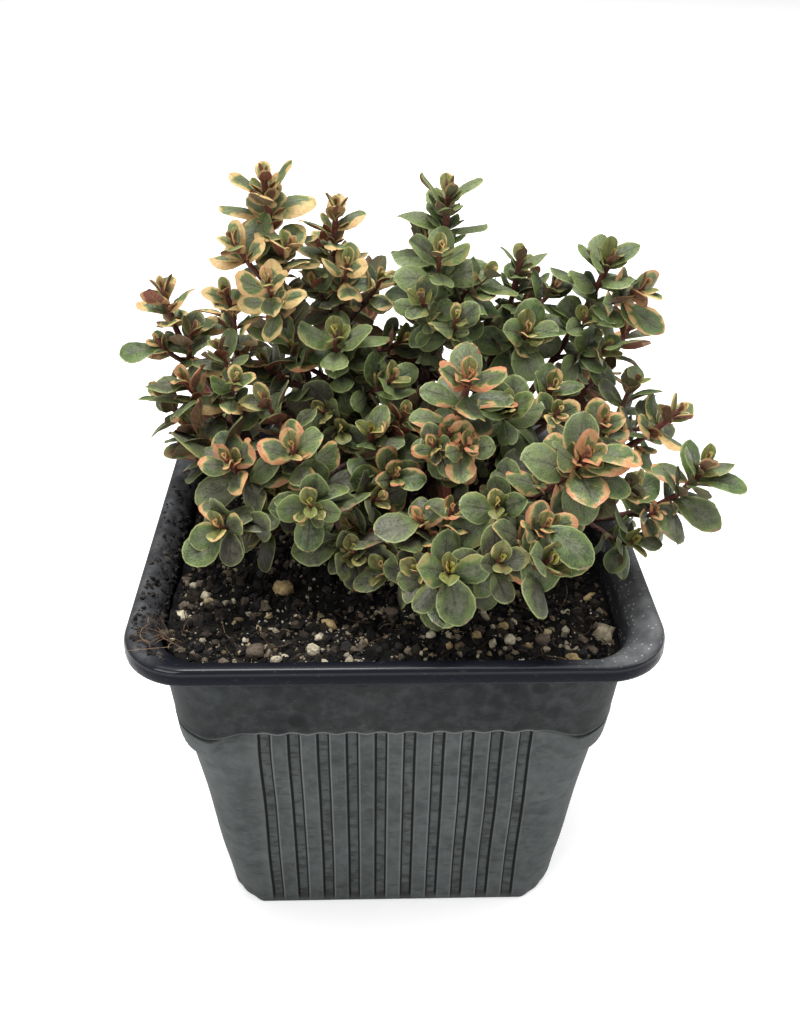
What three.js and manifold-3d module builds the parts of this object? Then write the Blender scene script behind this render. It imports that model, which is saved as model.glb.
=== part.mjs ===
// Potted variegated thyme: a square nursery pot, its soil and two dozen leafy sprays.
// Millimetres, +Z up. The origin lies under the middle of the pot's flat base; -Y is the front.
import * as THREE from "three";
import { mergeVertices } from "three/addons/utils/BufferGeometryUtils.js";
import Module from "manifold-3d";

const wasm = await Module();
wasm.setup();

// ---- driving dimensions ----

const fitGap = 0.3; // clearance between any two pieces
const cornerSteps = 3; // straight steps round each corner of the pot and the soil

const pot = {
  rimHalf: 45, // half the width over the rim
  rimCorner: 12,
  height: 70,
  lipDrop: 3.2, // the rim is turned down by this much
  lipThick: 1,
  rimWidth: 3.4, // flat top of the rim
  rimSlope: 1.2, // height over which the rim's inner side runs into the wall
  edge: 0.5, // rounding of the rim's edges
  collarFoot: 52, // height where the smooth collar ends
  ledge: 0.8, // height of the small step under the collar
  collarHalf: 42,
  collarFootHalf: 41,
  bodyTopHalf: 40,
  bodyCorner: 11,
  baseHalf: 32,
  baseCorner: 8.5,
  wall: 1.1,
  floor: 1.4,
};

const groove = { perFace: 10, pitch: 5.03, width: 1.9, depth: 0.6, bottom: 2.6, top: 50.2 };
const lug = { width: 11, height: 4.4, proud: 1.4, sunk: 0.8, level: 48.6 }; // below the collar
const drain = { radius: 3.6, offset: 19, sides: 6 };

const soil = {
  level: 63.6,
  lowest: 60.5, // below its lowest corner
  slopeX: -0.042, // it leans up to the front left
  slopeY: -0.03,
  swells: [[0.4, 0.21, 0.1, 1], [0.3, 0.12, -0.22, 0.4], [0.3, -0.08, 0.19, 2]], // [height, x, y, shift]
  crown: 1.4, // hill round the stems
  crownRadius: 16,
  rings: 4,
};
const stone = { long: 1.15, wide: 0.95, high: 0.85, tilt: 0.5, turn: 1.3, raised: 0.1 }; // the grit

// Square stems, as the mint family has: half the width at the foot and at the tip of a shoot.
const mainStem = { foot: 0.7, tip: 0.5, bareRings: 2 };
const sideStem = { foot: 0.48, tip: 0.45, bareRings: 1 };
const peg = { sunk: 6, rise: 0.8 }; // straight end of each stem in its hole, and its rise above the soil
// Along a shoot's reach, the shares over which it keeps its first and its last direction; the first
// direction of a main stem leans to its tip by half and climbs by the last number.
const habit = { first: 0.35, last: 0.4, lean: 0.5, climb: 60 };

const leaf = {
  thickness: 0.6,
  aspect: 0.6, // width over length
  // sections across the blade as [share of the length, share of the half width]
  sections: [[0.42, 1], [0.9, 0.58]],
  root: [0.05, 0.5], // section beside the stem
  free: 0.26, // share of its length from which a blade has to clear its own spray
  firstPair: 2, // the pairs above are part of the closed bud at the tip
  lastOnSide: 3, // a side shoot keeps its pairs down to this one
  jitterTurn: 26,
  jitterOpen: 14,
  jitterLength: 0.24,
  lowestReach: 2, // along the stem from its foot
  lowestRise: 2.4, // over the soil
};
// How pairs change from the tip down: distance of the first from the tip, the stretch to the next and its
// growth; the lack of length of the youngest and over how many pairs it fades; ageing from a pair on; the
// widest opening from the stem and over how many pairs it is reached; and the upward and downward curl.
const age = {
  start: 0.2, stretch: 0.7, growth: 0.45,
  lack: 0.72, fade: 1.2, ageing: 0.04, agedFrom: 6,
  widest: 97, opening: 2.8, ahead: 0.3,
  curl: 0.16, curlUp: 2, curlDown: 3,
};
const bud = { length: 3.4, halfWidth: 1.05, widestAt: 0.43 }; // closed bud at each tip

// Each spray is one leafy stem in its own hole. A shoot is written as
// [start, x, y, z, heading, tilt, pairs, leaf, turn, gap]:
// start says how far up the main stem it leaves, x y z is its tip, heading and tilt are the way the tip
// points, in degrees from +X and from upright, pairs counts its leaf pairs, leaf is the length of its
// grown leaves, turn is the heading of the topmost pair, and gap is the longest stretch between pairs.
const sprays = {
  spireLeft: {
    hole: [-8, 6],
    shoots: [
      [0, -22, 10, 134, 200, 4, 11, 8.8, 90, 2.2],
      [0.64, -27, 2, 124, 200, 28, 4, 6.5, 80, 2.2],
      [0.5, -21, -4, 119, 268, 52, 6, 7.4, 0, 2.5],
      [0.66, -18, 6, 122, 350, 35, 4, 7.5, 60, 2.5],
    ],
  },
  spireMid: {
    hole: [-4, 11],
    shoots: [
      [0, -10, 16, 126, 0, 4, 10, 6.6, 90, 2.1],
      [0.7, -8, 8, 118, 280, 38, 5, 7, 0, 2.5],
      [0.62, -2, 12, 114, 300, 28, 5, 6.6, 30, 3],
    ],
  },
  leftTall: {
    hole: [-12, 3],
    shoots: [
      [0, -40, 4, 115, 180, 8, 8, 7.4, 90, 3.6],
      [0.66, -35, 2, 108, 20, 35, 4, 7, 60, 3],
    ],
  },
  leftMid: {
    hole: [-10, -2],
    shoots: [
      [0, -36, -6, 102, 225, 40, 7, 8.2, 0, 4],
      [0.66, -27, -8, 103, 300, 40, 5, 7, 0, 3],
      [0.6, -29, 4, 114, 240, 25, 7, 7.2, 0, 3],
      [0.62, -30, -3, 107, 200, 20, 5, 6.6, 70, 3],
    ],
  },
  leftLow: {
    hole: [-11, -6],
    shoots: [
      [0, -28, -18, 93, 245, 45, 7, 8, 20, 4],
      [0.62, -29, -26, 85, 235, 48, 5, 7.6, 0, 3],
      [0.66, -35, -10, 95, 195, 45, 5, 8.6, 0, 3.5],
    ],
  },
  midGreen: {
    hole: [-6, -1],
    shoots: [
      [0, -10, 0, 108, 272, 42, 7, 8.6, 0, 4],
      [0.7, -18, 3, 104, 250, 20, 6, 7.6, 50, 3.5],
      [0.6, 0, -2, 101, 320, 35, 6, 8, 60, 3.5],
      [0.6, -23, 2, 102, 220, 30, 5, 7.5, 10, 3.5],
    ],
  },
  orange: {
    hole: [-7, -8],
    shoots: [
      [0, -17, -18, 95, 262, 48, 8, 8.2, 10, 4],
      [0.6, -14, -26, 89, 262, 50, 6, 8, 0, 3.5],
      [0.62, -22, -10, 100, 220, 35, 6, 7.6, 10, 4],
    ],
  },
  midLeft: {
    hole: [-2, -6],
    shoots: [
      [0, -4, -10, 94, 270, 42, 8, 7.6, 70, 4],
      [0.66, 0, -18, 90, 280, 35, 6, 7, 10, 3.5],
    ],
  },
  spireCentre: {
    hole: [3, 11],
    shoots: [
      [0, 10, 15, 132, 0, 2, 12, 9, 90, 2.4],
      [0.62, 8, 5, 121, 270, 38, 8, 9, 0, 3.5],
      [0.56, 5, 2, 114, 240, 30, 5, 7.2, 70, 3],
      [0.6, 17, 8, 116, 350, 45, 5, 8, 0, 3.5],
    ],
  },
  bigPink: {
    hole: [3, -3],
    shoots: [
      [0, 12, -16, 107, 272, 45, 7, 8.8, 0, 4],
      [0.6, 12, -20, 97, 300, 35, 5, 6.2, 20, 2.5],
    ],
  },
  spireRight: {
    hole: [7, 9],
    shoots: [
      [0, 24, 18, 116, 20, 6, 10, 7.2, 0, 3],
      [0.66, 24, 4, 107, 276, 35, 8, 8.4, 0, 3.5],
      [0.72, 30, 13, 112, 330, 30, 4, 7, 40, 3],
    ],
  },
  rightTall: {
    hole: [12, 5],
    shoots: [
      [0, 39, 10, 119, 330, 22, 7, 8.4, 50, 3.5],
      [0.8, 45, 8, 114, 350, 35, 6, 7.4, 70, 3],
      [0.72, 35, 8, 108, 230, 20, 5, 7, 30, 3],
    ],
  },
  rightMid: {
    hole: [14, 0],
    shoots: [
      [0, 51, -4, 95, 340, 35, 7, 7.4, 30, 3.5],
      [0.7, 44, 2, 98, 330, 30, 6, 7.6, 60, 3],
      [0.6, 37, -8, 95, 290, 35, 6, 7.2, 10, 3],
    ],
  },
  midRight: {
    hole: [9, -3],
    shoots: [
      [0, 28, -4, 100, 290, 38, 7, 8, 0, 4],
      [0.66, 19, -12, 100, 300, 40, 6, 8, 10, 3.5],
    ],
  },
  frontRight: {
    hole: [9, -8],
    shoots: [
      [0, 30, -28, 99, 290, 45, 7, 9.2, 0, 4],
      [0.55, 16, -30, 91, 262, 45, 6, 7.8, 0, 3],
      [0.7, 39, -24, 91, 320, 45, 5, 8.4, 20, 3],
    ],
  },
  rightArch: {
    hole: [14, -5],
    shoots: [
      [0, 52, -20, 93, 340, 18, 8, 8.4, 0, 3.6],
      [0.5, 41, -22, 79, 300, 50, 5, 7.6, 20, 3.5],
    ],
  },
  front: {
    hole: [4, -10],
    shoots: [
      [0, 16, -38, 86, 275, 48, 6, 7.8, 0, 3.5],
      [0.6, 23, -36, 91, 290, 42, 6, 7.4, 10, 3.5],
      [0.6, 23, -40, 87, 300, 55, 4, 9, 0, 3],
    ],
  },
  frontLow: {
    hole: [-1, -11],
    shoots: [
      [0, 8, -38, 84, 268, 45, 6, 9, 0, 3.5],
      [0.6, 9, -28, 89, 275, 35, 6, 7, 20, 3],
      [0.56, 4, -28, 87, 250, 35, 6, 7, 40, 3],
      [0.62, 3, -34, 81, 255, 45, 4, 7.6, 60, 3],
    ],
  },
  backLeft: {
    hole: [-8, 13],
    shoots: [
      [0, -33, 27, 103, 140, 25, 7, 8, 20, 4],
      [0.6, -22, 41, 97, 110, 40, 7, 7.8, 50, 3.5],
      [0.5, -40, 38, 84, 140, 50, 6, 7.6, 10, 3.5],
    ],
  },
  backMidLeft: {
    hole: [-3, 15],
    shoots: [
      [0, -13, 31, 115, 110, 15, 7, 7.6, 45, 3.5],
      [0.6, -6, 49, 94, 90, 45, 7, 8, 20, 3.5],
    ],
  },
  backMid: {
    hole: [3, 16],
    shoots: [
      [0, 7, 30, 118, 80, 10, 7, 8, 10, 3.5],
      [0.6, 13, 47, 98, 75, 42, 7, 8.2, 40, 3.5],
      [0.5, 8, 54, 82, 90, 55, 6, 7.6, 20, 3.5],
    ],
  },
  backRight: {
    hole: [9, 13],
    shoots: [
      [0, 28, 30, 108, 60, 18, 7, 8, 30, 4],
      [0.6, 27, 44, 93, 60, 42, 7, 7.8, 70, 3.5],
      [0.7, 18, 36, 104, 80, 25, 6, 7.2, 0, 3],
    ],
  },
  farRight: {
    hole: [14, 9],
    shoots: [
      [0, 47, 22, 101, 30, 28, 7, 7.8, 20, 4],
      [0.6, 42, 35, 86, 45, 50, 7, 7.6, 60, 3.5],
      [0.6, 52, 10, 86, 5, 45, 6, 7.6, 30, 3.5],
    ],
  },
  farLeft: {
    hole: [-13, 9],
    shoots: [
      [0, -45, 16, 90, 160, 35, 8, 7.6, 10, 4],
      [0.6, -36, 28, 78, 150, 50, 6, 7.6, 40, 3.5],
      [0.6, -46, 3, 82, 185, 45, 6, 7.2, 20, 3],
    ],
  },
};

// Larger bits of grit that lie half sunk in the soil: [x, y, radius].
const grit = [
  [-20, -26, 2.8], [-37, -20, 1.8], [4, -32, 2], [-12, -36, 2], [36, -30, 2.6], [34, -36, 2.2],
  [24, -34, 1.8], [-35, 32, 2.2], [20, 36, 2.2], [36, 18, 2],
];

// ---- solids ----

// A closed three.js geometry as a solid that can be cut and joined.
function toSolid(geometry) {
  const bare = geometry.clone();
  bare.deleteAttribute("normal");
  bare.deleteAttribute("uv");
  const merged = mergeVertices(bare, 1e-4);
  return new wasm.Manifold(new wasm.Mesh({
    numProp: 3,
    vertProperties: new Float32Array(merged.attributes.position.array),
    triVerts: new Uint32Array(merged.index.array),
  }));
}

function toGeometry(solid) {
  const mesh = solid.getMesh();
  const geometry = new THREE.BufferGeometry();
  geometry.setAttribute("position", new THREE.BufferAttribute(new Float32Array(mesh.vertProperties), 3));
  geometry.setIndex(new THREE.BufferAttribute(new Uint32Array(mesh.triVerts), 1));
  geometry.computeVertexNormals();
  return geometry;
}

function indexedGeometry(points, triangles) {
  const geometry = new THREE.BufferGeometry();
  geometry.setAttribute("position", new THREE.Float32BufferAttribute(points.flat(), 3));
  geometry.setIndex(triangles.flat());
  return geometry;
}

const radians = THREE.MathUtils.degToRad;
const joined = (solids) => wasm.Manifold.union(solids);

// The largest body of a joined solid: sealed voids fill up and loose scraps fall away.
function wholeBody(solid) {
  return solid.decompose().sort((a, b) => b.volume() - a.volume())[0];
}

// ---- pot and soil ----

// Points round a square with rounded corners, counterclockwise from its +X side.
function roundedSquare(half, corner, z) {
  const points = [];
  for (let quarter = 0; quarter < 4; quarter++) {
    for (let step = 0; step <= cornerSteps; step++) {
      const angle = (quarter + step / cornerSteps) * Math.PI / 2;
      const middle = (quarter + 0.5) * Math.PI / 2;
      const centre = (half - corner) * Math.SQRT2;
      points.push([
        centre * Math.cos(middle) + corner * Math.cos(angle),
        centre * Math.sin(middle) + corner * Math.sin(angle),
        z,
      ]);
    }
  }
  return points;
}

// A skin over rings of equally many points, closed at both ends by a fan round its middle point.
function loft(rings, firstMiddle, lastMiddle) {
  const count = rings[0].length;
  const points = [...rings.flat(), firstMiddle, lastMiddle];
  const triangles = [];
  for (let i = 0; i < count; i++) {
    const next = (i + 1) % count;
    for (let ring = 0; ring + 1 < rings.length; ring++) {
      const low = ring * count;
      const high = low + count;
      triangles.push([low + i, low + next, high + next], [low + i, high + next, high + i]);
    }
    const last = (rings.length - 1) * count;
    triangles.push([points.length - 2, next, i], [points.length - 1, last + i, last + next]);
  }
  return indexedGeometry(points, triangles);
}

const mix = (from, to, share) => from + (to - from) * share;
const bodyHalf = (z) => mix(pot.baseHalf, pot.bodyTopHalf, z / pot.collarFoot);
const ledgeFoot = pot.collarFoot - pot.ledge;

// The pot's inside from its floor up to the collar, as rounded squares that a spare makes smaller.
function cavity(spare) {
  const thick = pot.wall + spare;
  return [
    roundedSquare(bodyHalf(pot.floor) - thick, pot.baseCorner - thick, pot.floor + spare),
    roundedSquare(bodyHalf(ledgeFoot) - thick, pot.bodyCorner - thick, ledgeFoot + spare),
    roundedSquare(pot.collarFootHalf - thick, pot.bodyCorner - thick, pot.collarFoot + spare),
  ];
}

// The pot's wall from under the base, up the outside, over the turned-down rim and down the inside.
function potShell() {
  const lipFoot = pot.height - pot.lipDrop;
  const underRim = pot.height - pot.lipThick;
  const [lipHalf, lipCorner] = [pot.rimHalf - pot.lipThick, pot.rimCorner - pot.lipThick];
  const rings = [
    roundedSquare(pot.baseHalf, pot.baseCorner, 0),
    roundedSquare(bodyHalf(ledgeFoot), pot.bodyCorner, ledgeFoot),
    roundedSquare(pot.collarFootHalf, pot.bodyCorner, pot.collarFoot),
    roundedSquare(pot.collarHalf, pot.bodyCorner, underRim),
    roundedSquare(lipHalf, lipCorner, underRim),
    roundedSquare(lipHalf, lipCorner, lipFoot),
    roundedSquare(pot.rimHalf, pot.rimCorner, lipFoot),
    roundedSquare(pot.rimHalf, pot.rimCorner, pot.height - pot.edge),
    roundedSquare(pot.rimHalf - pot.edge, pot.rimCorner - pot.edge, pot.height),
    roundedSquare(pot.rimHalf - pot.rimWidth, pot.bodyCorner - pot.edge, pot.height),
    roundedSquare(pot.collarHalf - pot.wall, pot.bodyCorner - pot.wall, pot.height - pot.rimSlope),
    ...cavity(0).reverse(),
  ];
  return toSolid(loft(rings, [0, 0, 0], [0, 0, pot.floor]));
}

// Upright grooves on the four leaning faces, as bars that are cut away.
function grooveBars() {
  const bars = [];
  const lean = Math.atan2(pot.bodyTopHalf - pot.baseHalf, pot.collarFoot);
  const length = (groove.top - groove.bottom) / Math.cos(lean);
  const middle = (groove.top + groove.bottom) / 2;
  for (let face = 0; face < 4; face++) {
    for (let i = 0; i < groove.perFace; i++) {
      const bar = new THREE.BoxGeometry(groove.width, groove.depth * 2, length);
      bar.rotateX(lean);
      bar.translate((i - (groove.perFace - 1) / 2) * groove.pitch, -bodyHalf(middle), middle);
      bar.rotateZ(face * Math.PI / 2);
      bars.push(toSolid(bar));
    }
  }
  return joined(bars);
}

// A block across each corner, just under the collar, that keeps stacked pots apart.
function cornerLugs() {
  const reach = (bodyHalf(lug.level) - pot.bodyCorner) * Math.SQRT2 + pot.bodyCorner;
  const depth = lug.proud + lug.sunk;
  return [0, 1, 2, 3].map((corner) => {
    const block = new THREE.BoxGeometry(depth, lug.width, lug.height);
    block.translate(reach + lug.proud - depth / 2, 0, lug.level);
    block.rotateZ((corner + 0.5) * Math.PI / 2);
    return toSolid(block);
  });
}

function buildPot() {
  const holes = [[1, 1], [-1, 1], [-1, -1], [1, -1]].map(([x, y]) => {
    const hole = new THREE.CylinderGeometry(drain.radius, drain.radius, pot.floor * 4, drain.sides);
    hole.rotateX(Math.PI / 2);
    hole.translate(x * drain.offset, y * drain.offset, 0);
    return toSolid(hole);
  });
  const cuts = joined([grooveBars(), ...holes]);
  return wholeBody(joined([potShell(), ...cornerLugs()]).subtract(cuts));
}

// Height of the soil: a leaning plane with low swells and a crown round the stems.
function soilTop(x, y) {
  const swell = soil.swells.reduce((sum, [height, alongX, alongY, shift]) => (
    sum + height * Math.sin(alongX * x + alongY * y + shift)
  ), 0);
  const crown = soil.crown * Math.exp(-(x * x + y * y) / soil.crownRadius ** 2);
  return soil.level + soil.slopeX * x + soil.slopeY * y + swell + crown;
}

function soilBody() {
  const rings = cavity(fitGap);
  const share = (soil.lowest - pot.collarFoot) / (pot.height - pot.collarFoot);
  const half = mix(pot.collarFootHalf, pot.collarHalf, share) - pot.wall - fitGap;
  const rim = roundedSquare(half, pot.bodyCorner - pot.wall - fitGap, 0);
  for (let ring = soil.rings; ring > 0; ring--) {
    const inward = ring / soil.rings;
    rings.push(rim.map(([x, y]) => [x * inward, y * inward, soilTop(x * inward, y * inward)]));
  }
  return toSolid(loft(rings, [0, 0, pot.floor + fitGap], [0, 0, soilTop(0, 0)]));
}

function buildSoil(feet) {
  const stones = grit.map(([x, y, radius], i) => {
    const body = new THREE.OctahedronGeometry(radius, 0);
    body.rotateX(stone.tilt);
    body.scale(stone.long, stone.wide, stone.high);
    body.rotateZ(i * stone.turn);
    body.translate(x, y, soilTop(x, y) + radius * stone.raised);
    return toSolid(body);
  });
  const holes = feet.map(({ x, y, facing }) => {
    const wide = 2 * (mainStem.foot + fitGap);
    const deep = peg.sunk + fitGap;
    const hole = new THREE.BoxGeometry(wide, wide, 2 * deep);
    hole.rotateZ(Math.atan2(facing.y, facing.x));
    hole.translate(x, y, soilTop(x, y));
    return toSolid(hole);
  });
  return wholeBody(joined([soilBody(), ...stones]).subtract(joined(holes)));
}

// ---- sprays ----

// A repeatable draw between 0 and 1 for one leaf.
function draw(seed, pair, side) {
  const wave = Math.sin(seed * 12.9898 + pair * 78.233 + side * 37.719) * 43758.5453;
  return wave - Math.floor(wave);
}

function heading(azimuth, tilt) {
  const [a, t] = [radians(azimuth), radians(tilt)];
  return new THREE.Vector3(Math.sin(t) * Math.cos(a), Math.sin(t) * Math.sin(a), Math.cos(t));
}

// The direction square to the axis that points the nearest to another.
function squareTo(axis, direction) {
  return direction.clone().addScaledVector(axis, -direction.dot(axis)).normalize();
}

// The shoots of every spray with their curves. A side shoot leaves its main stem between the stem's own
// direction and that of its tip. Facing is the way the topmost pair points, square to the tip.
function growShoots() {
  return Object.entries(sprays).map(([name, { hole: [x, y], shoots }]) => {
    const foot = new THREE.Vector3(x, y, soilTop(x, y) + peg.rise);
    let main = null;
    const grown = shoots.map(([start, tipX, tipY, tipZ, azimuth, tilt, pairs, length, turn, gap]) => {
      const tip = new THREE.Vector3(tipX, tipY, tipZ);
      const base = main ? main.getPoint(start) : foot;
      const away = main
        ? main.getTangent(start).add(tip.clone().sub(base).normalize()).normalize()
        : new THREE.Vector3(tipX * habit.lean, tipY * habit.lean, habit.climb).normalize();
      const reach = tip.distanceTo(base);
      const curve = new THREE.CubicBezierCurve3(
        base,
        base.clone().addScaledVector(away, reach * habit.first),
        tip.clone().addScaledVector(heading(azimuth, tilt), -reach * habit.last),
        tip,
      );
      const isMain = !main;
      main ??= curve;
      const facing = squareTo(curve.getTangent(1), heading(turn, 90));
      return { curve, isMain, pairs, length, facing, gap, seed: tipX * 3 + tipY * 7 + tipZ };
    });
    return { name, x, y, facing: grown[0].facing, grown };
  });
}

// The leaves of one shoot, pair by pair from the tip down, each pair turned a quarter from the last.
function leafPlaces({ curve, isMain, pairs, length: grown, facing, gap, seed }) {
  const places = [];
  const total = curve.getLength();
  const lastPair = isMain ? pairs - 1 : Math.min(pairs - 1, leaf.lastOnSide);
  let down = age.start;
  for (let pair = 0; pair <= lastPair; pair++) {
    if (pair > 0) down += Math.min(age.stretch + age.growth * pair, gap);
    const reach = total - down;
    const spot = curve.getPointAt(Math.max(0, reach / total));
    if (reach < leaf.lowestReach || spot.z < soil.level + leaf.lowestRise) break;
    if (pair < leaf.firstPair) continue;
    const axis = curve.getTangentAt(reach / total);
    const across = squareTo(axis, facing);
    const ageing = age.ageing * Math.max(0, pair - age.agedFrom);
    const size = (1 - age.lack * Math.exp(-pair / age.fade)) * (1 - ageing);
    const widest = age.widest * (1 - Math.exp(-(pair + age.ahead) / age.opening));
    const curl = age.curl * (Math.exp(-pair / age.curlUp) - 1 + Math.exp(-pair / age.curlDown));
    for (const side of [0, 1]) {
      const spread = (range, column) => range * (draw(seed, pair, side + column) - 0.5);
      const turn = radians(90 * pair + 180 * side + spread(leaf.jitterTurn, 0));
      const open = radians(widest + spread(leaf.jitterOpen, 5));
      const length = grown * size * (1 + spread(leaf.jitterLength, 9));
      places.push({ reach, pair, side, spot, axis, across, turn, open, length, curl });
    }
  }
  return places;
}

// Turns a blade's own frame to its place on the stem; pitch and swing bend it from there, in degrees.
function placing({ spot, axis, across, turn, open }, pitch, swing) {
  const out = across.clone().applyAxisAngle(axis, turn + radians(swing));
  const angle = open + radians(pitch);
  const x = axis.clone().multiplyScalar(Math.cos(angle)).addScaledVector(out, Math.sin(angle));
  const y = new THREE.Vector3().crossVectors(axis, out).normalize();
  const z = new THREE.Vector3().crossVectors(x, y);
  return new THREE.Matrix4().makeBasis(x, y, z).setPosition(spot);
}

// Sections of a blade from its foot to its end. Its own X runs from the stem to the tip, Y across, and Z
// out of the upper face; its height changes with the square of the way along. Spare grows it all round.
function bladeSections({ length, curl }, matrix, sections, spare = 0) {
  return sections.map(([along, across]) => {
    const x = along * (length + spare);
    const y = across * (length * leaf.aspect / 2 + spare);
    const z = curl * length * along ** 2;
    const [low, high] = [z - leaf.thickness / 2 - spare, z + leaf.thickness / 2 + spare];
    return [[x, -y, low], [x, y, low], [x, y, high], [x, -y, high]]
      .map((corner) => new THREE.Vector3(...corner).applyMatrix4(matrix).toArray());
  });
}

function middleOf(ring) {
  return [0, 1, 2].map((k) => ring.reduce((sum, point) => sum + point[k], 0) / ring.length);
}

// Bends tried in turn, as [pitch, swing], until a leaf is clear of the other sprays.
const bends = [
  [0, 0], [12, 0], [-12, 0], [0, 18], [0, -18], [24, 0], [-24, 0], [14, 24], [14, -24], [-16, 24],
  [-16, -24], [38, 0], [-38, 0], [0, 30], [0, -30],
];

// A blade grown by half of the clearance, from a share of its length on.
function guard(place, matrix, from) {
  const rings = bladeSections(place, matrix, [[from, leaf.root[1]], ...leaf.sections], fitGap / 2);
  return toSolid(loft(rings, middleOf(rings[0]), middleOf(rings[rings.length - 1])));
}

// Where a leaf can lie: all of it is clear of the other sprays, and its free part of its own spray.
function clearPlace(place, others, own) {
  const meets = (solid, obstacle) => !solid.intersect(obstacle).isEmpty();
  for (const [pitch, swing] of bends) {
    const matrix = placing(place, pitch, swing);
    const whole = guard(place, matrix, leaf.root[0]);
    const free = guard(place, matrix, leaf.free);
    if (!meets(free, own) && !others.some((other) => meets(whole, other))) {
      return { ...place, matrix, free };
    }
  }
  return null;
}

// A square across a stem, with its corners between the faces that the leaves grow from.
function squareRing(centre, way, facing, half) {
  const across = squareTo(way, facing);
  const along = new THREE.Vector3().crossVectors(way, across);
  return [[1, 1], [-1, 1], [-1, -1], [1, -1]].map(([a, b]) => (
    centre.clone().addScaledVector(across, a * half).addScaledVector(along, b * half).toArray()
  ));
}

// The squares of one shoot from its foot up. A square with blades carries them on the faces above it.
function stemRings({ curve, isMain, facing }, leaves, spare) {
  const size = isMain ? mainStem : sideStem;
  const total = curve.getLength();
  const rings = [];
  const addRing = (reach, blades = []) => {
    const share = Math.min(reach / total, 1);
    const [centre, way] = [curve.getPointAt(share), curve.getTangentAt(share)];
    const half = mix(size.foot, size.tip, share) + spare;
    rings.push({ points: squareRing(centre, way, facing, half), blades });
  };
  const root = curve.getPoint(0);
  if (isMain) {
    const upright = new THREE.Vector3(0, 0, 1);
    for (const drop of [peg.rise + peg.sunk, 0]) {
      const centre = root.clone().setZ(root.z - drop);
      rings.push({ points: squareRing(centre, upright, facing, size.foot + spare), blades: [] });
    }
  } else {
    addRing(0);
  }
  const lowest = Math.min(total, ...leaves.map(({ reach }) => reach));
  for (let i = 1; i <= size.bareRings; i++) addRing(lowest * i / (size.bareRings + 1));
  for (const reach of [...new Set(leaves.map((place) => place.reach))].sort((a, b) => a - b)) {
    addRing(reach - leaf.thickness / 2, leaves.filter((place) => place.reach === reach));
    addRing(reach + leaf.thickness / 2);
  }
  addRing(total);
  const [tip, way] = [curve.getPoint(1), curve.getTangent(1)];
  const shoulder = tip.clone().addScaledVector(way, bud.length * bud.widestAt);
  rings.push({ points: squareRing(shoulder, way, facing, bud.halfWidth + spare), blades: [] });
  return { rings, apex: tip.clone().addScaledVector(way, bud.length).toArray() };
}

// One shoot as a skin of squares round its curve, which swells into the closed bud at its tip. At each
// pair of leaves two faces of the stem open into the blades.
function shootSolid(shoot, leaves, spare = 0) {
  const { rings, apex } = stemRings(shoot, leaves, spare);
  const points = [];
  const triangles = [];
  const add = (ring) => ring.map((point) => points.push(point) - 1);
  const bridge = (low, high, i) => {
    const next = (i + 1) % 4;
    triangles.push([low[i], low[next], high[next]], [low[i], high[next], high[i]]);
  };
  const addBlade = (blade, rootSection) => {
    let section = rootSection;
    for (const ring of bladeSections(blade, blade.matrix, leaf.sections)) {
      const outer = add(ring);
      for (let i = 0; i < 4; i++) bridge(section, outer, i);
      section = outer;
    }
    triangles.push([section[0], section[1], section[2]], [section[0], section[2], section[3]]);
  };

  let low = add(rings[0].points);
  triangles.push([low[2], low[1], low[0]], [low[3], low[2], low[0]]);
  for (let n = 1; n < rings.length; n++) {
    const high = add(rings[n].points);
    for (let face = 0; face < 4; face++) {
      const next = (face + 1) % 4;
      const blade = rings[n - 1].blades.find(({ pair, side }) => (pair + 2 * side + 3) % 4 === face);
      if (blade) addBlade(blade, [low[face], low[next], high[next], high[face]]);
      else bridge(low, high, face);
    }
    low = high;
  }
  const [peak] = add([apex]);
  for (let i = 0; i < 4; i++) triangles.push([low[i], low[(i + 1) % 4], peak]);
  return toSolid(indexedGeometry(points, triangles));
}

function buildSprays(all, ground) {
  const bare = all.map(({ grown }) => joined(grown.map((shoot) => shootSolid(shoot, [], fitGap))));
  let finished = ground;
  return all.map(({ name, grown }, index) => {
    const others = [finished, ...bare.slice(index + 1)];
    let own = joined(grown.map((shoot) => shootSolid(shoot, [])));
    const shoots = grown.map((shoot) => {
      const leaves = [];
      for (const place of leafPlaces(shoot)) {
        const settled = clearPlace(place, others, own);
        if (!settled) continue;
        own = own.add(settled.free);
        leaves.push(settled);
      }
      return shootSolid(shoot, leaves);
    });
    const spray = wholeBody(joined(shoots));
    finished = joined([finished, own, spray]);
    return [name, spray];
  });
}

// ---- the scene graph ----

function mesh(name, solid, color, roughness) {
  const material = new THREE.MeshStandardMaterial({ color, roughness, metalness: 0 });
  const object = new THREE.Mesh(toGeometry(solid), material);
  object.name = name;
  return object;
}

const potSolid = buildPot();
const grownSprays = growShoots();
const soilSolid = buildSoil(grownSprays);
const plant = new THREE.Group();
for (const [name, solid] of buildSprays(grownSprays, joined([potSolid, soilSolid]))) {
  plant.add(mesh(`spray_${name}`, solid, 0x6f8560, 0.6));
}
const thyme = new THREE.Group();
thyme.add(mesh("pot", potSolid, 0x3c4041, 0.5), mesh("soil", soilSolid, 0x1d1917, 0.95), plant);

export default thyme;
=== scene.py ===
# Potted variegated thyme: square nursery pot, soil and two dozen leafy sprays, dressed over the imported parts.
# Shapes are worked out in millimetres and put into the meshes in metres; +Z up, -Y is the front.
import math

import bpy
import numpy as np
from mathutils import Matrix, Vector
from mathutils.geometry import tessellate_polygon


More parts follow.
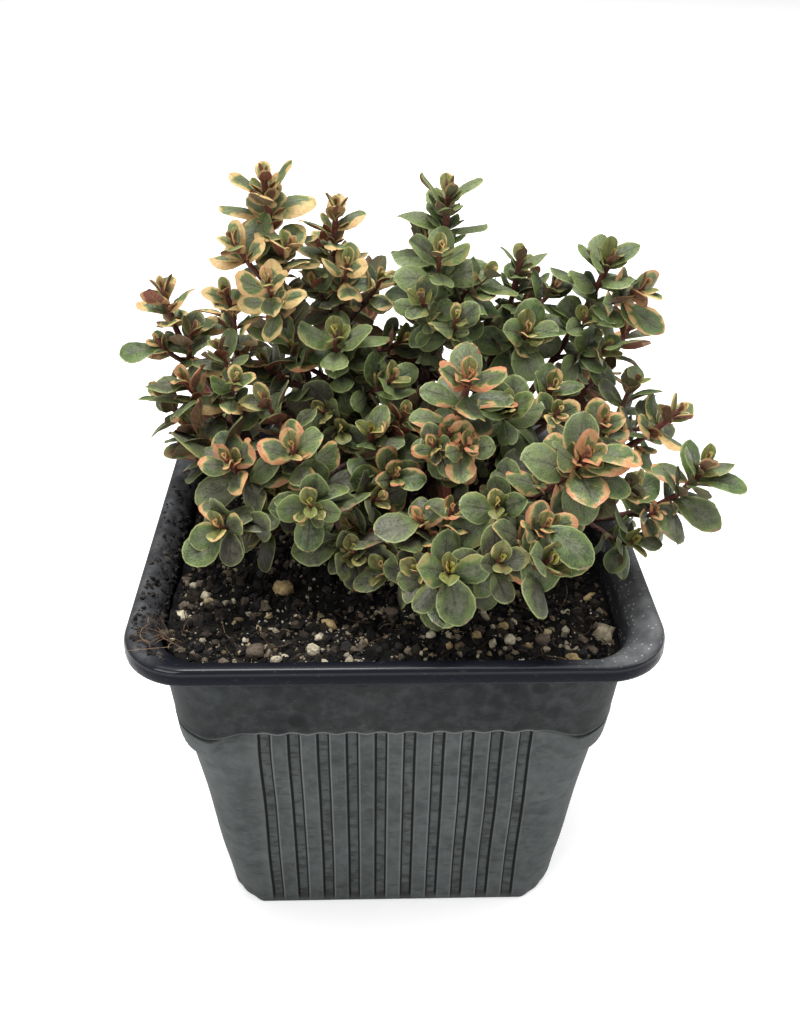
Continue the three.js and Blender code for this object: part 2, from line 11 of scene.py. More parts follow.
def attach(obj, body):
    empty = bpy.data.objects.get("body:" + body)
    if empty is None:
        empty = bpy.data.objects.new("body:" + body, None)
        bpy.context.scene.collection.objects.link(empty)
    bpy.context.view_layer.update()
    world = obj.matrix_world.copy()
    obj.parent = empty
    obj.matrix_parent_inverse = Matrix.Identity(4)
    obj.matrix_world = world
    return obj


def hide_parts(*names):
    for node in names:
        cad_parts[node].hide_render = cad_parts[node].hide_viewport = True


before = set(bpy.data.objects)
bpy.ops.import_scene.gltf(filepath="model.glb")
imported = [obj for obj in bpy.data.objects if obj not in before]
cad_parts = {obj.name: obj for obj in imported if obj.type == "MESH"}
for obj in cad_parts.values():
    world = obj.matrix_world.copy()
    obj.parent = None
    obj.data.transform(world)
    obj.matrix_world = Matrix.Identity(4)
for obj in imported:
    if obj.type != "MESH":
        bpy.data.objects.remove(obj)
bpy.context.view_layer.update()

mm = 0.001
fullTurn = 2 * math.pi


def unit(vectors):
    return vectors / np.linalg.norm(vectors, axis=-1, keepdims=True)


def smoothStep(low, high, values):
    share = np.clip((values - low) / (high - low), 0, 1)
    return share * share * (3 - 2 * share)


# Random heights on a cubic lattice of the given size, blended smoothly between its corners: -1 to 1. Each
# corner's height is a whole-number scramble of its place and the seed.
def softNoise(points, size, seed):
    cell = points / size + seed * 17.3
    whole = np.floor(cell).astype(np.int64)
    part = cell - whole
    part = part * part * (3 - 2 * part)
    total = np.zeros(len(points))
    for corner in np.ndindex(2, 2, 2):
        x, y, z = (whole + corner).T
        hashed = (x * 374761393 + y * 668265263 + z * 2147483647 + seed * 144665) & 0x7FFFFFFF
        hashed = ((hashed ^ (hashed >> 13)) * 1274126177) & 0x7FFFFFFF
        hashed ^= hashed >> 16
        weight = np.where(np.array(corner), part, 1 - part).prod(axis=1)
        total += weight * (hashed / 0x3FFFFFFF - 1)
    return total


# Quads between neighbouring rows of a grid; a closed grid joins its last column to its first.
def gridQuads(rows, columns, closed=False):
    row = np.arange(rows - 1)[:, None] * columns
    column = np.arange(columns if closed else columns - 1)[None, :]
    after = (column + 1) % columns
    quads = np.stack([row + column, row + after, row + columns + after, row + columns + column], axis=-1)
    return quads.reshape(-1, 4)


# Triangles from every edge of a ring to one pole.
def fan(ring, pole):
    return np.stack([ring, np.roll(ring, -1), np.full(len(ring), pole)], axis=1)


# A mesh from points in millimetres and a list of face arrays, each of one size.
def newMesh(name, points, faceArrays, materials, faceMaterial=None, smooth=True):
    mesh = bpy.data.meshes.new(name)
    sizes = np.concatenate([np.full(len(faces), faces.shape[1]) for faces in faceArrays])
    corners = np.concatenate([faces.ravel() for faces in faceArrays])
    mesh.vertices.add(len(points))
    mesh.vertices.foreach_set("co", (points * mm).astype(np.float32).ravel())
    mesh.loops.add(len(corners))
    mesh.loops.foreach_set("vertex_index", corners.astype(np.int32))
    mesh.polygons.add(len(sizes))
    mesh.polygons.foreach_set("loop_start", (np.cumsum(sizes) - sizes).astype(np.int32))
    mesh.update(calc_edges=True)
    mesh.polygons.foreach_set("use_smooth", np.full(len(sizes), smooth))
    for material in materials:
        mesh.materials.append(material)
    if faceMaterial is not None:
        mesh.polygons.foreach_set("material_index", faceMaterial.astype(np.int32))
    mesh.validate()
    piece = bpy.data.objects.new(name, mesh)
    bpy.context.scene.collection.objects.link(piece)
    return piece


# A vertex attribute: a row of four numbers for each vertex makes it a colour.
def give(piece, name, values):
    kind, field = ("FLOAT_COLOR", "color") if values.ndim > 1 else ("FLOAT", "value")
    layer = piece.data.attributes.new(name, kind, "POINT")
    layer.data.foreach_set(field, values.astype(np.float32).ravel())


def giveUv(piece, name, perVertex):
    corners = np.empty(len(piece.data.loops), dtype=np.int32)
    piece.data.loops.foreach_get("vertex_index", corners)
    layer = piece.data.uv_layers.new(name=name)
    layer.data.foreach_set("uv", perVertex[corners].astype(np.float32).ravel())


# Keeps the shading apart across every edge that joins two marked vertices.
def sharpenBetween(piece, marked):
    ends = np.empty(len(piece.data.edges) * 2, dtype=np.int32)
    piece.data.edges.foreach_get("vertices", ends)
    ends = ends.reshape(-1, 2)
    layer = piece.data.attributes.new("sharp_edge", "BOOLEAN", "EDGE")
    layer.data.foreach_set("value", marked[ends].all(axis=1))


def settle(piece, slot, *nodes):
    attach(piece, "root")
    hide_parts(*nodes)


# An output socket in a shader tree: sums and products of it, with numbers or other values, add the nodes
# for them.
class Value:
    def __init__(self, socket):
        self.socket = socket
        self.tree = socket.id_data

    def math(self, operation, other=0.0):
        return newValue(self.tree, "ShaderNodeMath", {0: self, 1: other}, operation=operation)

    def __add__(self, other):
        return self.math("ADD", other)

    def __sub__(self, other):
        return self.math("SUBTRACT", other)

    def __mul__(self, other):
        return self.math("MULTIPLY", other)

    def __pow__(self, other):
        return self.math("POWER", other)

    def __abs__(self):
        return self.math("ABSOLUTE")

    def most(self, other):
        return self.math("MAXIMUM", other)

    # A smooth run from first to last while this value goes from low to high.
    def ramp(self, low, high, first=0.0, last=1.0):
        sockets = {"Value": self, "From Min": low, "From Max": high, "To Min": first, "To Max": last}
        return newValue(self.tree, "ShaderNodeMapRange", sockets, interpolation_type="SMOOTHSTEP")

    def split(self, kind):
        node = connect(self.tree.nodes.new("ShaderNodeSeparate" + kind), {0: self})
        return [Value(socket) for socket in node.outputs]


# Sets a node's sockets to numbers, or links values to them.
def connect(node, sockets):
    for socket, given in sockets.items():
        if isinstance(given, Value):
            given.tree.links.new(given.socket, node.inputs[socket])
        else:
            node.inputs[socket].default_value = given
    return node


# One output of a new node with the given sockets and settings.
def newValue(tree, kind, sockets, output=0, **settings):
    node = tree.nodes.new(kind)
    for key, setting in settings.items():
        setattr(node, key, setting)
    return Value(connect(node, sockets).outputs[output])


def rgba(red, green, blue):
    return (red, green, blue, 1)


def blend(share, first, second):
    return newValue(share.tree, "ShaderNodeMix", {0: share, 6: first, 7: second}, 2, data_type="RGBA")


def blendNumbers(share, first, second):
    return newValue(share.tree, "ShaderNodeMix", {0: share, 2: first, 3: second})


# Colours laid over a first one, each by its share.
def layered(colour, layers):
    for share, top in layers:
        colour = blend(share, colour, top)
    return colour


def objectPlace(tree):
    return newValue(tree, "ShaderNodeTexCoord", {}, "Object")


def attributeOf(tree, name, output="Fac"):
    return newValue(tree, "ShaderNodeAttribute", {}, output, attribute_name=name)


def noiseOf(place, scale, detail):
    return newValue(place.tree, "ShaderNodeTexNoise", {"Vector": place, "Scale": scale, "Detail": detail})


def bumpOf(height, distance, strength=1.0):
    sockets = {"Height": height, "Distance": distance, "Strength": strength}
    return newValue(height.tree, "ShaderNodeBump", sockets)


# A node group with a vector and numbers as its inputs, whose masks come from the function given.
def newGroup(name, numbers, masksOf):
    tree = bpy.data.node_groups.new(name, "ShaderNodeTree")
    if numbers:
        tree.interface.new_socket("Vector", in_out="INPUT", socket_type="NodeSocketVector")
    for label, number in numbers.items():
        socket = tree.interface.new_socket(label, in_out="INPUT", socket_type="NodeSocketFloat")
        socket.default_value = number
    given = {socket.name: Value(socket) for socket in tree.nodes.new("NodeGroupInput").outputs}
    masks = masksOf(tree, given)
    for label in masks:
        tree.interface.new_socket(label, in_out="OUTPUT", socket_type="NodeSocketFloat")
    connect(tree.nodes.new("NodeGroupOutput"), masks)
    return tree


def useGroup(tree, group, sockets):
    node = tree.nodes.new("ShaderNodeGroup")
    node.node_tree = group
    return {socket.name: Value(socket) for socket in connect(node, sockets).outputs}


# Soft cloudy mask: noise pulled between two levels.
def mottleMasks(tree, given):
    sockets = {label: given[label] for label in ("Vector", "Scale", "Detail")} | {"Roughness": 0.6}
    return {"Mask": newValue(tree, "ShaderNodeTexNoise", sockets).ramp(given["Low"], given["High"])}


# Small round spots in a share of the cells of a lattice; the spots keep clear of each other.
def speckMasks(tree, given):
    sockets = {label: given[label] for label in ("Vector", "Scale")}
    cells = connect(tree.nodes.new("ShaderNodeTexVoronoi"), sockets)
    size = given["Size"]
    inside = Value(cells.outputs["Distance"]).ramp(size * 0.6, size, 1.0, 0.0)
    chosen = Value(cells.outputs["Color"]).split("Color")[0].math("LESS_THAN", given["Share"])
    return {"Mask": inside * chosen}


mottle = newGroup("mottle", {"Scale": 100.0, "Detail": 3.0, "Low": 0.35, "High": 0.65}, mottleMasks)
specks = newGroup("specks", {"Scale": 800.0, "Size": 0.25, "Share": 0.3}, speckMasks)


def mottleOf(place, scale, low, high, detail):
    sockets = {"Vector": place, "Scale": scale, "Low": low, "High": high, "Detail": detail}
    return useGroup(place.tree, mottle, sockets)["Mask"]


def specksOf(place, scale, size, share):
    sockets = {"Vector": place, "Scale": scale, "Size": size, "Share": share}
    return useGroup(place.tree, specks, sockets)["Mask"]


# A material whose shader sockets, numbers or values, come from the function given.
def newMaterial(name, socketsOf):
    material = bpy.data.materials.new(name)
    material.use_nodes = True
    connect(material.node_tree.nodes["Principled BSDF"], socketsOf(material.node_tree))
    return material


potShape = {
    "baseHalf": 31.5, "baseCorner": 6.1, "baseTuck": 0.9, "tuckTop": 15, "floor": 1.4,
    "bodyTopHalf": 38.2, "bodyCorner": 11, "collarFoot": 52, "ledge": 0.8, "dent": 0.32, "dentSize": 14.0,
    "grooves": 10, "pitch": 5.03, "grooveDepth": 0.45, "grooveFoot": (0.9, 1.6), "grooveTop": (51.1, 50.4),
    "bead": 0.1, "beadAt": 1.27, "beadWidth": 0.16, "collarWave": 0.55, "waveEnd": (25.5, 23.5),
    "cornerDip": 2, "dipWidth": 8, "dipFrom": (40, 47), "dipTo": (60, 53),
    "dentFrom": (0, 3), "dentTo": (52, 46),
    "lugWidth": 12, "lugProud": 1.2, "lugFoot": 45.9, "lugTop": (51.2, 50.8), "lugRise": 2.6,
    "lugFade": (-0.25, 0.45), "lugEnd": (1.0, 0.72),
    "drain": 19, "drainRadius": 3.6, "drainSides": 28,
}
# Stations across a groove and the rib after it, in millimetres from the groove's middle, and the distances
# over which its dip, floor, walls and lips begin and end, the walls taking painted shade and the lips a
# painted highlight; the wall on the pot's outer side starts nearer.
grooveStations = (
    -1.3, -1.2, -1.06, -0.84, -0.74, -0.64, 0, 0.64, 0.74, 0.84, 1.06, 1.2, 1.3, 1.45, 2.515, 3.58,
)
grooveEdges = {
    "sunk": (1.07, 0.85), "floor": (0.84, 0.74), "wallFrom": 0.74, "outerWallFrom": 0.64, "wallRise": 0.1,
    "wallTo": (1.2, 1.06), "lipFrom": (1.06, 1.2), "lipTo": (1.45, 1.3), "outerLip": 0.4,
}
# The profile's rows: height, half width, corner radius, and how much the wave of the collar counts.
baseRows = [(0, 31, 5.7), (0.12, 31.35, 5.95)]
footHeights = (0.45, 1.2, 2.3, 2.6, 2.95, 3.3, 4.2)
collarFootRows = [
    (51.3, 38.6, 11, 1), (51.4, 38.9, 11, 1), (51.6, 39.05, 11, 1), (51.7, 39.07, 11, 1),
    (51.9, 39.07, 11, 0.9), (52.3, 39.04, 11, 0.5),
]
rimRows = [
    (53, 39.1, 11), (56, 39.4, 11), (60, 39.85, 11), (64, 40.35, 11), (66.2, 40.62, 11), (66.55, 41.6, 11),
    (66.9, 42.8, 11), (67.1, 43.7, 11), (66.95, 44, 11), (66.8, 44.3, 11.1), (66.75, 44.6, 11.2),
    (66.9, 44.9, 11.4), (67.3, 45, 11.5), (68.2, 45, 11.5), (69, 44.97, 11.5), (69.45, 44.87, 11.5),
    (69.75, 44.65, 11.5), (69.9, 44.3, 11.4), (69.97, 43.8, 11.3), (70, 43.2, 11.2), (69.92, 42.85, 11.1),
    (69.7, 42.5, 11.1), (69.35, 42.1, 11), (68.9, 41.65, 11), (68.4, 41.15, 11), (67.85, 40.65, 10.9),
    (67.2, 40.2, 10.8), (66.4, 39.85, 10.7), (65.3, 39.6, 10.6), (62, 39.2, 10.4), (57, 38.6, 10.1),
    (52, 38.1, 9.9), (51.2, 37, 9.8), (26, 33.6, 8.2), (potShape["floor"], 30.5, 5.2),
]
potLook = {
    "slate": rgba(0.039, 0.043, 0.0425), "slateLight": rgba(0.078, 0.085, 0.084),
    "collar": rgba(0.011, 0.012, 0.013), "rim": rgba(0.004, 0.0045, 0.008), "gap": rgba(0.0025, 0.003, 0.003),
    "dust": rgba(0.118, 0.121, 0.123), "scuffAndHighlight": rgba(0.13, 0.135, 0.13), "stainAndShade": rgba(0.007, 0.007, 0.007),
    "grain": rgba(0.42, 0.41, 0.39), "crumb": rgba(0.012, 0.01, 0.008), "foot": rgba(0.02, 0.014, 0.01),
}
# Scale, levels and detail of each cloudy mask; the streaks are drawn out level round the pot.
potClouds = {
    "clouds": (75, 0.38, 0.68, 4), "fine": (420, 0.35, 0.7, 4), "blotch": (150, 0.5, 0.58, 3),
    "worn": (260, 0.36, 0.62, 6),
}
potStreaks = {
    "smudge": (230, 0.52, 0.7, 5), "floorStain": (300, 0.5, 0.6, 3), "scuffed": (900, 0.63, 0.72, 3),
}
# Scale, size and share of each kind of spot.
potSpots = {
    "drops": (170, 0.32, 0.34), "grains": (1500, 0.34, 0.3), "coarse": (950, 0.24, 0.12),
    "crumbs": (520, 0.34, 0.22),
}
# Heights, in metres, between which each band of the pot's finish, the painted shadow under the collar's
# ledge among them, comes in, and the same across the pot.
potBands = {
    "foot": (0.0031, 0.0015), "ledgeShadow": (0.0499, 0.0508), "collar": (0.05125, 0.0513),
    "rim": (0.0662, 0.0666), "raised": (0.0655, 0.0688), "rounding": (0.0686, 0.0695),
}
potSides = {"right": (0.024, 0.0405), "left": (-0.036, -0.0425)}


# Columns round one face of the pot from corner to corner, as (fixed x, share of the flat's half, angle).
def potColumns():
    flat = potShape["grooves"] * potShape["pitch"] / 2
    corner = np.linspace(-math.pi / 4, 0, 11)[:-1]
    middles = (np.arange(potShape["grooves"])[:, None] + 0.5) * potShape["pitch"] - flat
    groove = (np.array(grooveStations)[None, :] + middles).ravel()[:-1]
    margin = np.linspace(0, 1, 5)[:-1]
    left = [(-flat * share, share - 1, 0) for share in margin]
    right = [(flat * share, 1 - share, 0) for share in margin[::-1]]
    columns = [(0, -1, angle) for angle in corner] + left + [(x, 0, 0) for x in groove] + right
    return np.array(columns + [(0, 1, -angle) for angle in corner[::-1][:-1]])


# All rows from the outer edge of the base, up the outside, over the rim and down the inside, as (height, half
# width, corner radius, how much the grooves, the wave of the collar and the lugs count).
def potRows():
    shape = potShape
    ledgeFoot = shape["collarFoot"] - shape["ledge"]

    def body(z, lugged):
        half = shape["baseHalf"] + (shape["bodyTopHalf"] - shape["baseHalf"]) * z / shape["collarFoot"]
        corner = shape["baseCorner"] + (shape["bodyCorner"] - shape["baseCorner"]) * z / ledgeFoot
        return (z, half, corner if lugged else shape["bodyCorner"], 1, 0, lugged)

    heights = np.concatenate([footHeights, np.arange(7, 45, 4), np.arange(45.4, ledgeFoot, 0.36)])
    rows = [(*row, 0, 0, 0) for row in baseRows] + [body(z, 1) for z in heights] + [body(ledgeFoot + 0.05, 0)]
    rows += [(z, half, corner, 0, wave, 0) for z, half, corner, wave in collarFootRows]
    return np.array(rows + [(*row, 0, 0, 0) for row in rimRows])


# Points: a rounded square at each row's height, pushed in by the grooves and at the foot of the corners,
# and out by the beads and corner lugs; the collar's foot waves and dips at the corners. Marks: the groove's
# wall for painted shade, its lip and the collar's hem for painted highlights, the groove's floor, the inner
# side of the rim, and the row's own height.
def potShell():
    shape, edges = potShape, grooveEdges
    columns, rows = potColumns(), potRows()
    z, half, corner, grooved, waved, lugged = rows.T[:, :, None]
    fixed, share, angle = columns.T[:, None, :]
    flat = half - corner
    x = fixed + share * flat + corner * np.sin(angle)
    y = -(flat + corner * np.cos(angle))

    onFace = (np.abs(share) < 1e-6) & (np.abs(angle) < 1e-6)
    nearest = (np.floor(x / shape["pitch"]) + 0.5) * shape["pitch"]
    away = np.abs(x - nearest)
    sideOut = (x - nearest) * nearest > 0
    ribbed = grooved * smoothStep(*shape["grooveFoot"], z) * smoothStep(*shape["grooveTop"], z) * onFace
    bead = shape["bead"] * np.exp(-((away - shape["beadAt"]) / shape["beadWidth"]) ** 2)
    push = ribbed * (bead - shape["grooveDepth"] * smoothStep(*edges["sunk"], away))

    fromCorner = corner * (math.pi / 4 - np.abs(angle)) + np.where(np.abs(angle) > 0, 0, 99)
    across = np.clip(fromCorner / (shape["lugWidth"] / 2), 0, 1)
    aboveFoot = z - shape["lugFoot"] - shape["lugRise"] * across ** 2
    lug = smoothStep(*shape["lugFade"], aboveFoot) * smoothStep(*shape["lugTop"], z) * lugged
    push = push + shape["lugProud"] * lug * smoothStep(*shape["lugEnd"], across)
    push = push - shape["baseTuck"] * smoothStep(0, 0.5, np.abs(angle)) * smoothStep(shape["tuckTop"], 0, z)

    wave = 0.5 + 0.5 * np.cos(fullTurn * x / shape["pitch"])
    fade = smoothStep(*shape["waveEnd"], np.abs(x))
    pastFlat = np.abs(fixed + share * flat) - shape["grooves"] * shape["pitch"] / 2 + corner * np.abs(angle)
    dip = smoothStep(0, shape["dipWidth"], pastFlat) * shape["cornerDip"]
    dip = dip * smoothStep(*shape["dipFrom"], z) * smoothStep(*shape["dipTo"], z)
    height = z - waved * shape["collarWave"] * wave * fade - dip
    x, y = x + push * np.sin(angle), y - push * np.cos(angle)
    faces = []
    for turn in np.arange(4) * math.pi / 2:
        turned = (x * math.cos(turn) - y * math.sin(turn), x * math.sin(turn) + y * math.cos(turn), height)
        faces.append(np.stack(turned, axis=-1))
    shell = np.concatenate(faces, axis=1)
    outer = smoothStep(*shape["dentFrom"], shell[:, :, 2]) * smoothStep(*shape["dentTo"], shell[:, :, 2])
    points = shell.reshape(-1, 3)
    dent = softNoise(points, shape["dentSize"], 3) * shape["dent"]
    points = points + unit(points * [1, 1, 0]) * (dent * outer.ravel())[:, None]

    # Painted shade: the mask of each groove wall, which darkens it to near black.
    wallFrom = np.where(sideOut, edges["outerWallFrom"], edges["wallFrom"])
    wallShade = smoothStep(wallFrom, wallFrom + edges["wallRise"], away)
    wallShade = wallShade * smoothStep(*edges["wallTo"], away) * ribbed
    # Painted highlight: the mask of the lip at each rib's edge, weaker on the outer side.
    lipHighlight = smoothStep(*edges["lipFrom"], away) * smoothStep(*edges["lipTo"], away) * ribbed
    lipHighlight = lipHighlight * np.where(sideOut, edges["outerLip"], 1)
    floor = smoothStep(*edges["floor"], away) * ribbed
    # Painted highlight: a light line along the collar's hem.
    hem = np.where(waved > 0, smoothStep(51.95, 51.65, z), 0) * (0.4 + 0.6 * fade)
    inner = np.clip((np.arange(len(rows)) - np.argmax(rows[:, 0]) + 4) / 3, 0, 1)[:, None]
    marks = np.stack(np.broadcast_arrays(wallShade, lipHighlight, floor, hem, inner, z * mm), axis=-1)
    return points, shell.shape[:2], np.tile(marks, (1, 4, 1)).reshape(-1, 6)


# Triangles of a flat plate between a ring and the drain holes, turned up or down.
def drainPlate(ring, holes, upward):
    triangles = np.array(tessellate_polygon([[Vector(point) for point in loop] for loop in (ring, *holes)]))
    a, b, c = np.concatenate([ring, *holes])[triangles.T]
    turned = np.cross(b - a, c - a)[:, 2] > 0
    triangles[turned != upward] = triangles[turned != upward][:, ::-1]
    return triangles


# The shell, closed by two plates with four drain holes and a wall of quads down each hole.
def buildPot():
    shell, (rows, columns), shellMarks = potShell()
    sides, floor = potShape["drainSides"], np.array([0, 0, potShape["floor"]])
    angle = np.arange(sides) / sides * fullTurn
    circle = np.stack([np.cos(angle), np.sin(angle), angle * 0], axis=1) * potShape["drainRadius"]
    corners = np.array([(1, 1, 0), (-1, 1, 0), (-1, -1, 0), (1, -1, 0)]) * potShape["drain"]
    holes = [corner + circle for corner in corners]
    upperHoles = [hole + floor for hole in holes]
    points = np.concatenate([shell, *holes, *upperHoles])
    lowRing = np.arange(columns)
    highRing = lowRing + (rows - 1) * columns
    drains = len(shell) + np.arange(4 * sides)
    low = np.concatenate([lowRing, drains])[drainPlate(points[lowRing], holes, False)]
    high = np.concatenate([highRing, drains + 4 * sides])[drainPlate(points[highRing], upperHoles, True)]
    walls = []
    for first in drains.reshape(4, sides):
        second = first + 4 * sides
        walls.append(np.stack([np.roll(first, -1), first, second, np.roll(second, -1)], axis=1))
    quads = np.concatenate([gridQuads(rows, columns, closed=True), *walls])
    piece = newMesh("squarePot", points, [quads, low, high], [newMaterial("slatePlastic", potPlastic)])
    marks = np.zeros((len(points), 6))
    marks[:len(shell)] = shellMarks
    for name, values in (("lines", marks[:, :4]), ("inner", marks[:, 4]), ("level", marks[:, 5])):
        give(piece, name, values)
    return piece


# Matt slate plastic, darker on the collar, blue-black and glossy on the front of the rim, dusty at the right,
# with painted shade in the groove walls and under the collar's ledge and painted highlights on the rib lips
# and the collar's hem.
def potPlastic(tree):
    look = potLook
    place = objectPlace(tree)
    streaked = newValue(tree, "ShaderNodeMapping", {0: place, "Scale": (1, 1, 2.6)})
    x = place.split("XYZ")[0]
    z, inner = attributeOf(tree, "level"), attributeOf(tree, "inner")
    wallShade, lipHighlight, floor = attributeOf(tree, "lines", "Color").split("Color")
    mask = {key: mottleOf(place, *row) for key, row in potClouds.items()}
    mask |= {key: mottleOf(streaked, *row) for key, row in potStreaks.items()}
    mask |= {key: specksOf(place, *row) for key, row in potSpots.items()}
    band = {key: z.ramp(*row) for key, row in potBands.items()}

    drift = (mask["clouds"] + mask["fine"]) * 0.5
    right, left = x.ramp(*potSides["right"]), x.ramp(*potSides["left"])
    onRim, raised = band["rim"].most(inner), band["raised"] * inner
    dust = (right + left * 0.6) * raised * (mask["worn"] * 0.5 + 0.45)
    blotch = (mask["blotch"] * 0.4).most(mask["drops"] * 0.7)
    collar = blend(blotch, blend(drift * 0.44, look["collar"], look["slateLight"]), look["stainAndShade"])
    colour = layered(blend(drift, look["slate"], look["slateLight"]), [
        (mask["smudge"] * 0.3, look["stainAndShade"]), (floor * mask["floorStain"] * 0.42, look["stainAndShade"]),
        # Painted shade, near black, in the groove walls, and a painted highlight on the rib lips.
        (floor * band["foot"] * 0.8, look["foot"]), (wallShade * 0.95, look["gap"]), (lipHighlight * 0.6, look["scuffAndHighlight"]),
        # Painted shadow on the body just under the collar's ledge, in the dark stain colour.
        (band["ledgeShadow"] * 0.55, look["stainAndShade"]), (band["collar"], collar),
        # Painted highlight along the collar's hem.
        (attributeOf(tree, "lines", "Alpha") * 0.75, look["scuffAndHighlight"]), (onRim, look["rim"]),
        (dust, look["dust"]), (inner * right * 0.2, look["dust"]),
        (mask["grains"].most(mask["coarse"]) * right * inner * 0.5, look["grain"]),
        (mask["crumbs"] * left * raised, look["crumb"]), (mask["scuffed"] * 0.14, look["scuffAndHighlight"]),
    ])
    rough = blendNumbers(onRim, drift * 0.16 + 0.52, mask["fine"] * 0.12 + 0.26)
    rough = blendNumbers(dust.most(inner * 0.6), rough, 0.75)
    glossy = band["rounding"] * (dust.most(inner) * -1.0 + 1.0)
    grain = noiseOf(place, 2400, 2) * 0.4 + mask["fine"] * 0.6
    return {
        "Base Color": colour, "Roughness": rough, "Coat Weight": glossy * 0.6, "Coat Roughness": 0.07,
        "Specular IOR Level": 0.06, "IOR": 1.48, "Normal": bumpOf(grain, 0.00012, 0.5),
    }


settle(buildPot(), "pot", "pot")
print("pot: wall, grooves, collar, lugs and rim")


soilShape = {
    "level": 63.6, "slopeX": -0.042, "slopeY": -0.03, "crown": 1.4, "crownRadius": 16,
    "half": 39.1, "corner": 10.2, "skirt": 54, "rings": 74, "around": 300,
    "swells": [(0.4, 0.21, 0.1, 1), (0.3, 0.12, -0.22, 0.4), (0.3, -0.08, 0.19, 2)],  # height, x, y, shift
    "lumps": [(5.0, 0.75, 5), (2.2, 0.6, 6), (0.95, 0.34, 7)],  # size, height, seed
}
soilLook = {
    "black": rgba(0.003, 0.003, 0.003), "brown": rgba(0.019, 0.0165, 0.014), "tan": rgba(0.16, 0.11, 0.075),
    "pale": rgba(0.55, 0.52, 0.46), "crumbPatch": rgba(0.012, 0.01, 0.008),
}


# Height of the soil: a leaning plane with low swells and a crown round the stems.
def soilTop(x, y):
    shape = soilShape
    height = shape["level"] + shape["slopeX"] * x + shape["slopeY"] * y
    for size, alongX, alongY, shift in shape["swells"]:
        height = height + size * np.sin(alongX * x + alongY * y + shift)
    return height + shape["crown"] * np.exp(-(x * x + y * y) / shape["crownRadius"] ** 2)


# Height of the loose surface: the soil's height with lumps of three sizes.
def looseTop(x, y):
    flat = np.stack([x, y, x * 0 + 3.7], axis=1)
    height = soilTop(x, y)
    for size, rise, seed in soilShape["lumps"]:
        height = height + rise * softNoise(flat, size, seed)
    return height


def roundedSquare(half, corner, count):
    angle = np.arange(count) / count * fullTurn
    square = np.maximum(np.abs(np.cos(angle)), np.abs(np.sin(angle)))
    edge = half * np.stack([np.cos(angle), np.sin(angle)], axis=1) / square[:, None]
    centre = np.clip(edge, corner - half, half - corner)
    out = edge - centre
    length = np.maximum(np.linalg.norm(out, axis=1, keepdims=True), 1e-9)
    return centre + out / length * np.minimum(length, corner)


# Rings from the middle of the surface out to the wall, then down behind it and closed underneath.
def buildSoil():
    shape, count = soilShape, soilShape["around"]
    rim = roundedSquare(shape["half"], shape["corner"], count)
    rings = [np.column_stack([rim * share, looseTop(*(rim * share).T)])
             for share in np.linspace(0, 1, shape["rings"] + 1)[1:]]
    rings.append(np.column_stack([rim * 0.985, np.full(count, shape["skirt"])]))
    points = np.concatenate([*rings, [[0, 0, looseTop(np.zeros(1), np.zeros(1))[0]], [0, 0, shape["skirt"]]]])
    middle, under = len(points) - 2, len(points) - 1
    first = np.arange(count)
    last = len(rings) * count - count + first
    quads = gridQuads(len(rings), count, closed=True)[:, ::-1]
    triangles = np.concatenate([fan(first, middle), fan(last, under)[:, ::-1]])
    return newMesh("soilBed", points, [quads, triangles], [newMaterial("darkEarth", soilEarth)])


# Near-black crumbly earth with brown patches, tan specks and pale grains.
def soilEarth(tree):
    look, place = soilLook, objectPlace(tree)
    brown = mottleOf(place, 260, 0.42, 0.7, 5.0)
    colour = layered(blend(brown, look["black"], look["brown"]), [
        (specksOf(place, 760, 0.3, 0.1), look["tan"]), (specksOf(place, 1100, 0.26, 0.06), look["pale"]),
    ])
    bump = bumpOf(noiseOf(place, 1500, 5), 0.0008)
    return {"Base Color": colour, "Roughness": 0.95, "Specular IOR Level": 0.15, "Normal": bump}


# A ball of twenty faces, or of eighty where it is split once, as unit points and triangles.
def roughBall(split):
    golden = (1 + math.sqrt(5)) / 2
    points = [
        [-1, golden, 0], [1, golden, 0], [-1, -golden, 0], [1, -golden, 0], [0, -1, golden], [0, 1, golden],
        [0, -1, -golden], [0, 1, -golden], [golden, 0, -1], [golden, 0, 1], [-golden, 0, -1], [-golden, 0, 1],
    ]
    faces = [
        (0, 11, 5), (0, 5, 1), (0, 1, 7), (0, 7, 10), (0, 10, 11), (1, 5, 9), (5, 11, 4), (11, 10, 2),
        (10, 7, 6), (7, 1, 8), (3, 9, 4), (3, 4, 2), (3, 2, 6), (3, 6, 8), (3, 8, 9), (4, 9, 5), (2, 4, 11),
        (6, 2, 10), (8, 6, 7), (9, 8, 1),
    ]
    if split:
        middles, finer = {}, []
        for a, b, c in faces:
            cut = []
            for pair in ((a, b), (b, c), (c, a)):
                key = tuple(sorted(pair))
                if key not in middles:
                    middles[key] = len(points)
                    points.append([(points[key[0]][k] + points[key[1]][k]) / 2 for k in range(3)])
                cut.append(middles[key])
            finer += [(a, cut[0], cut[2]), (b, cut[1], cut[0]), (c, cut[2], cut[1]), tuple(cut)]
        faces = finer
    return unit(np.array(points)), np.array(faces)


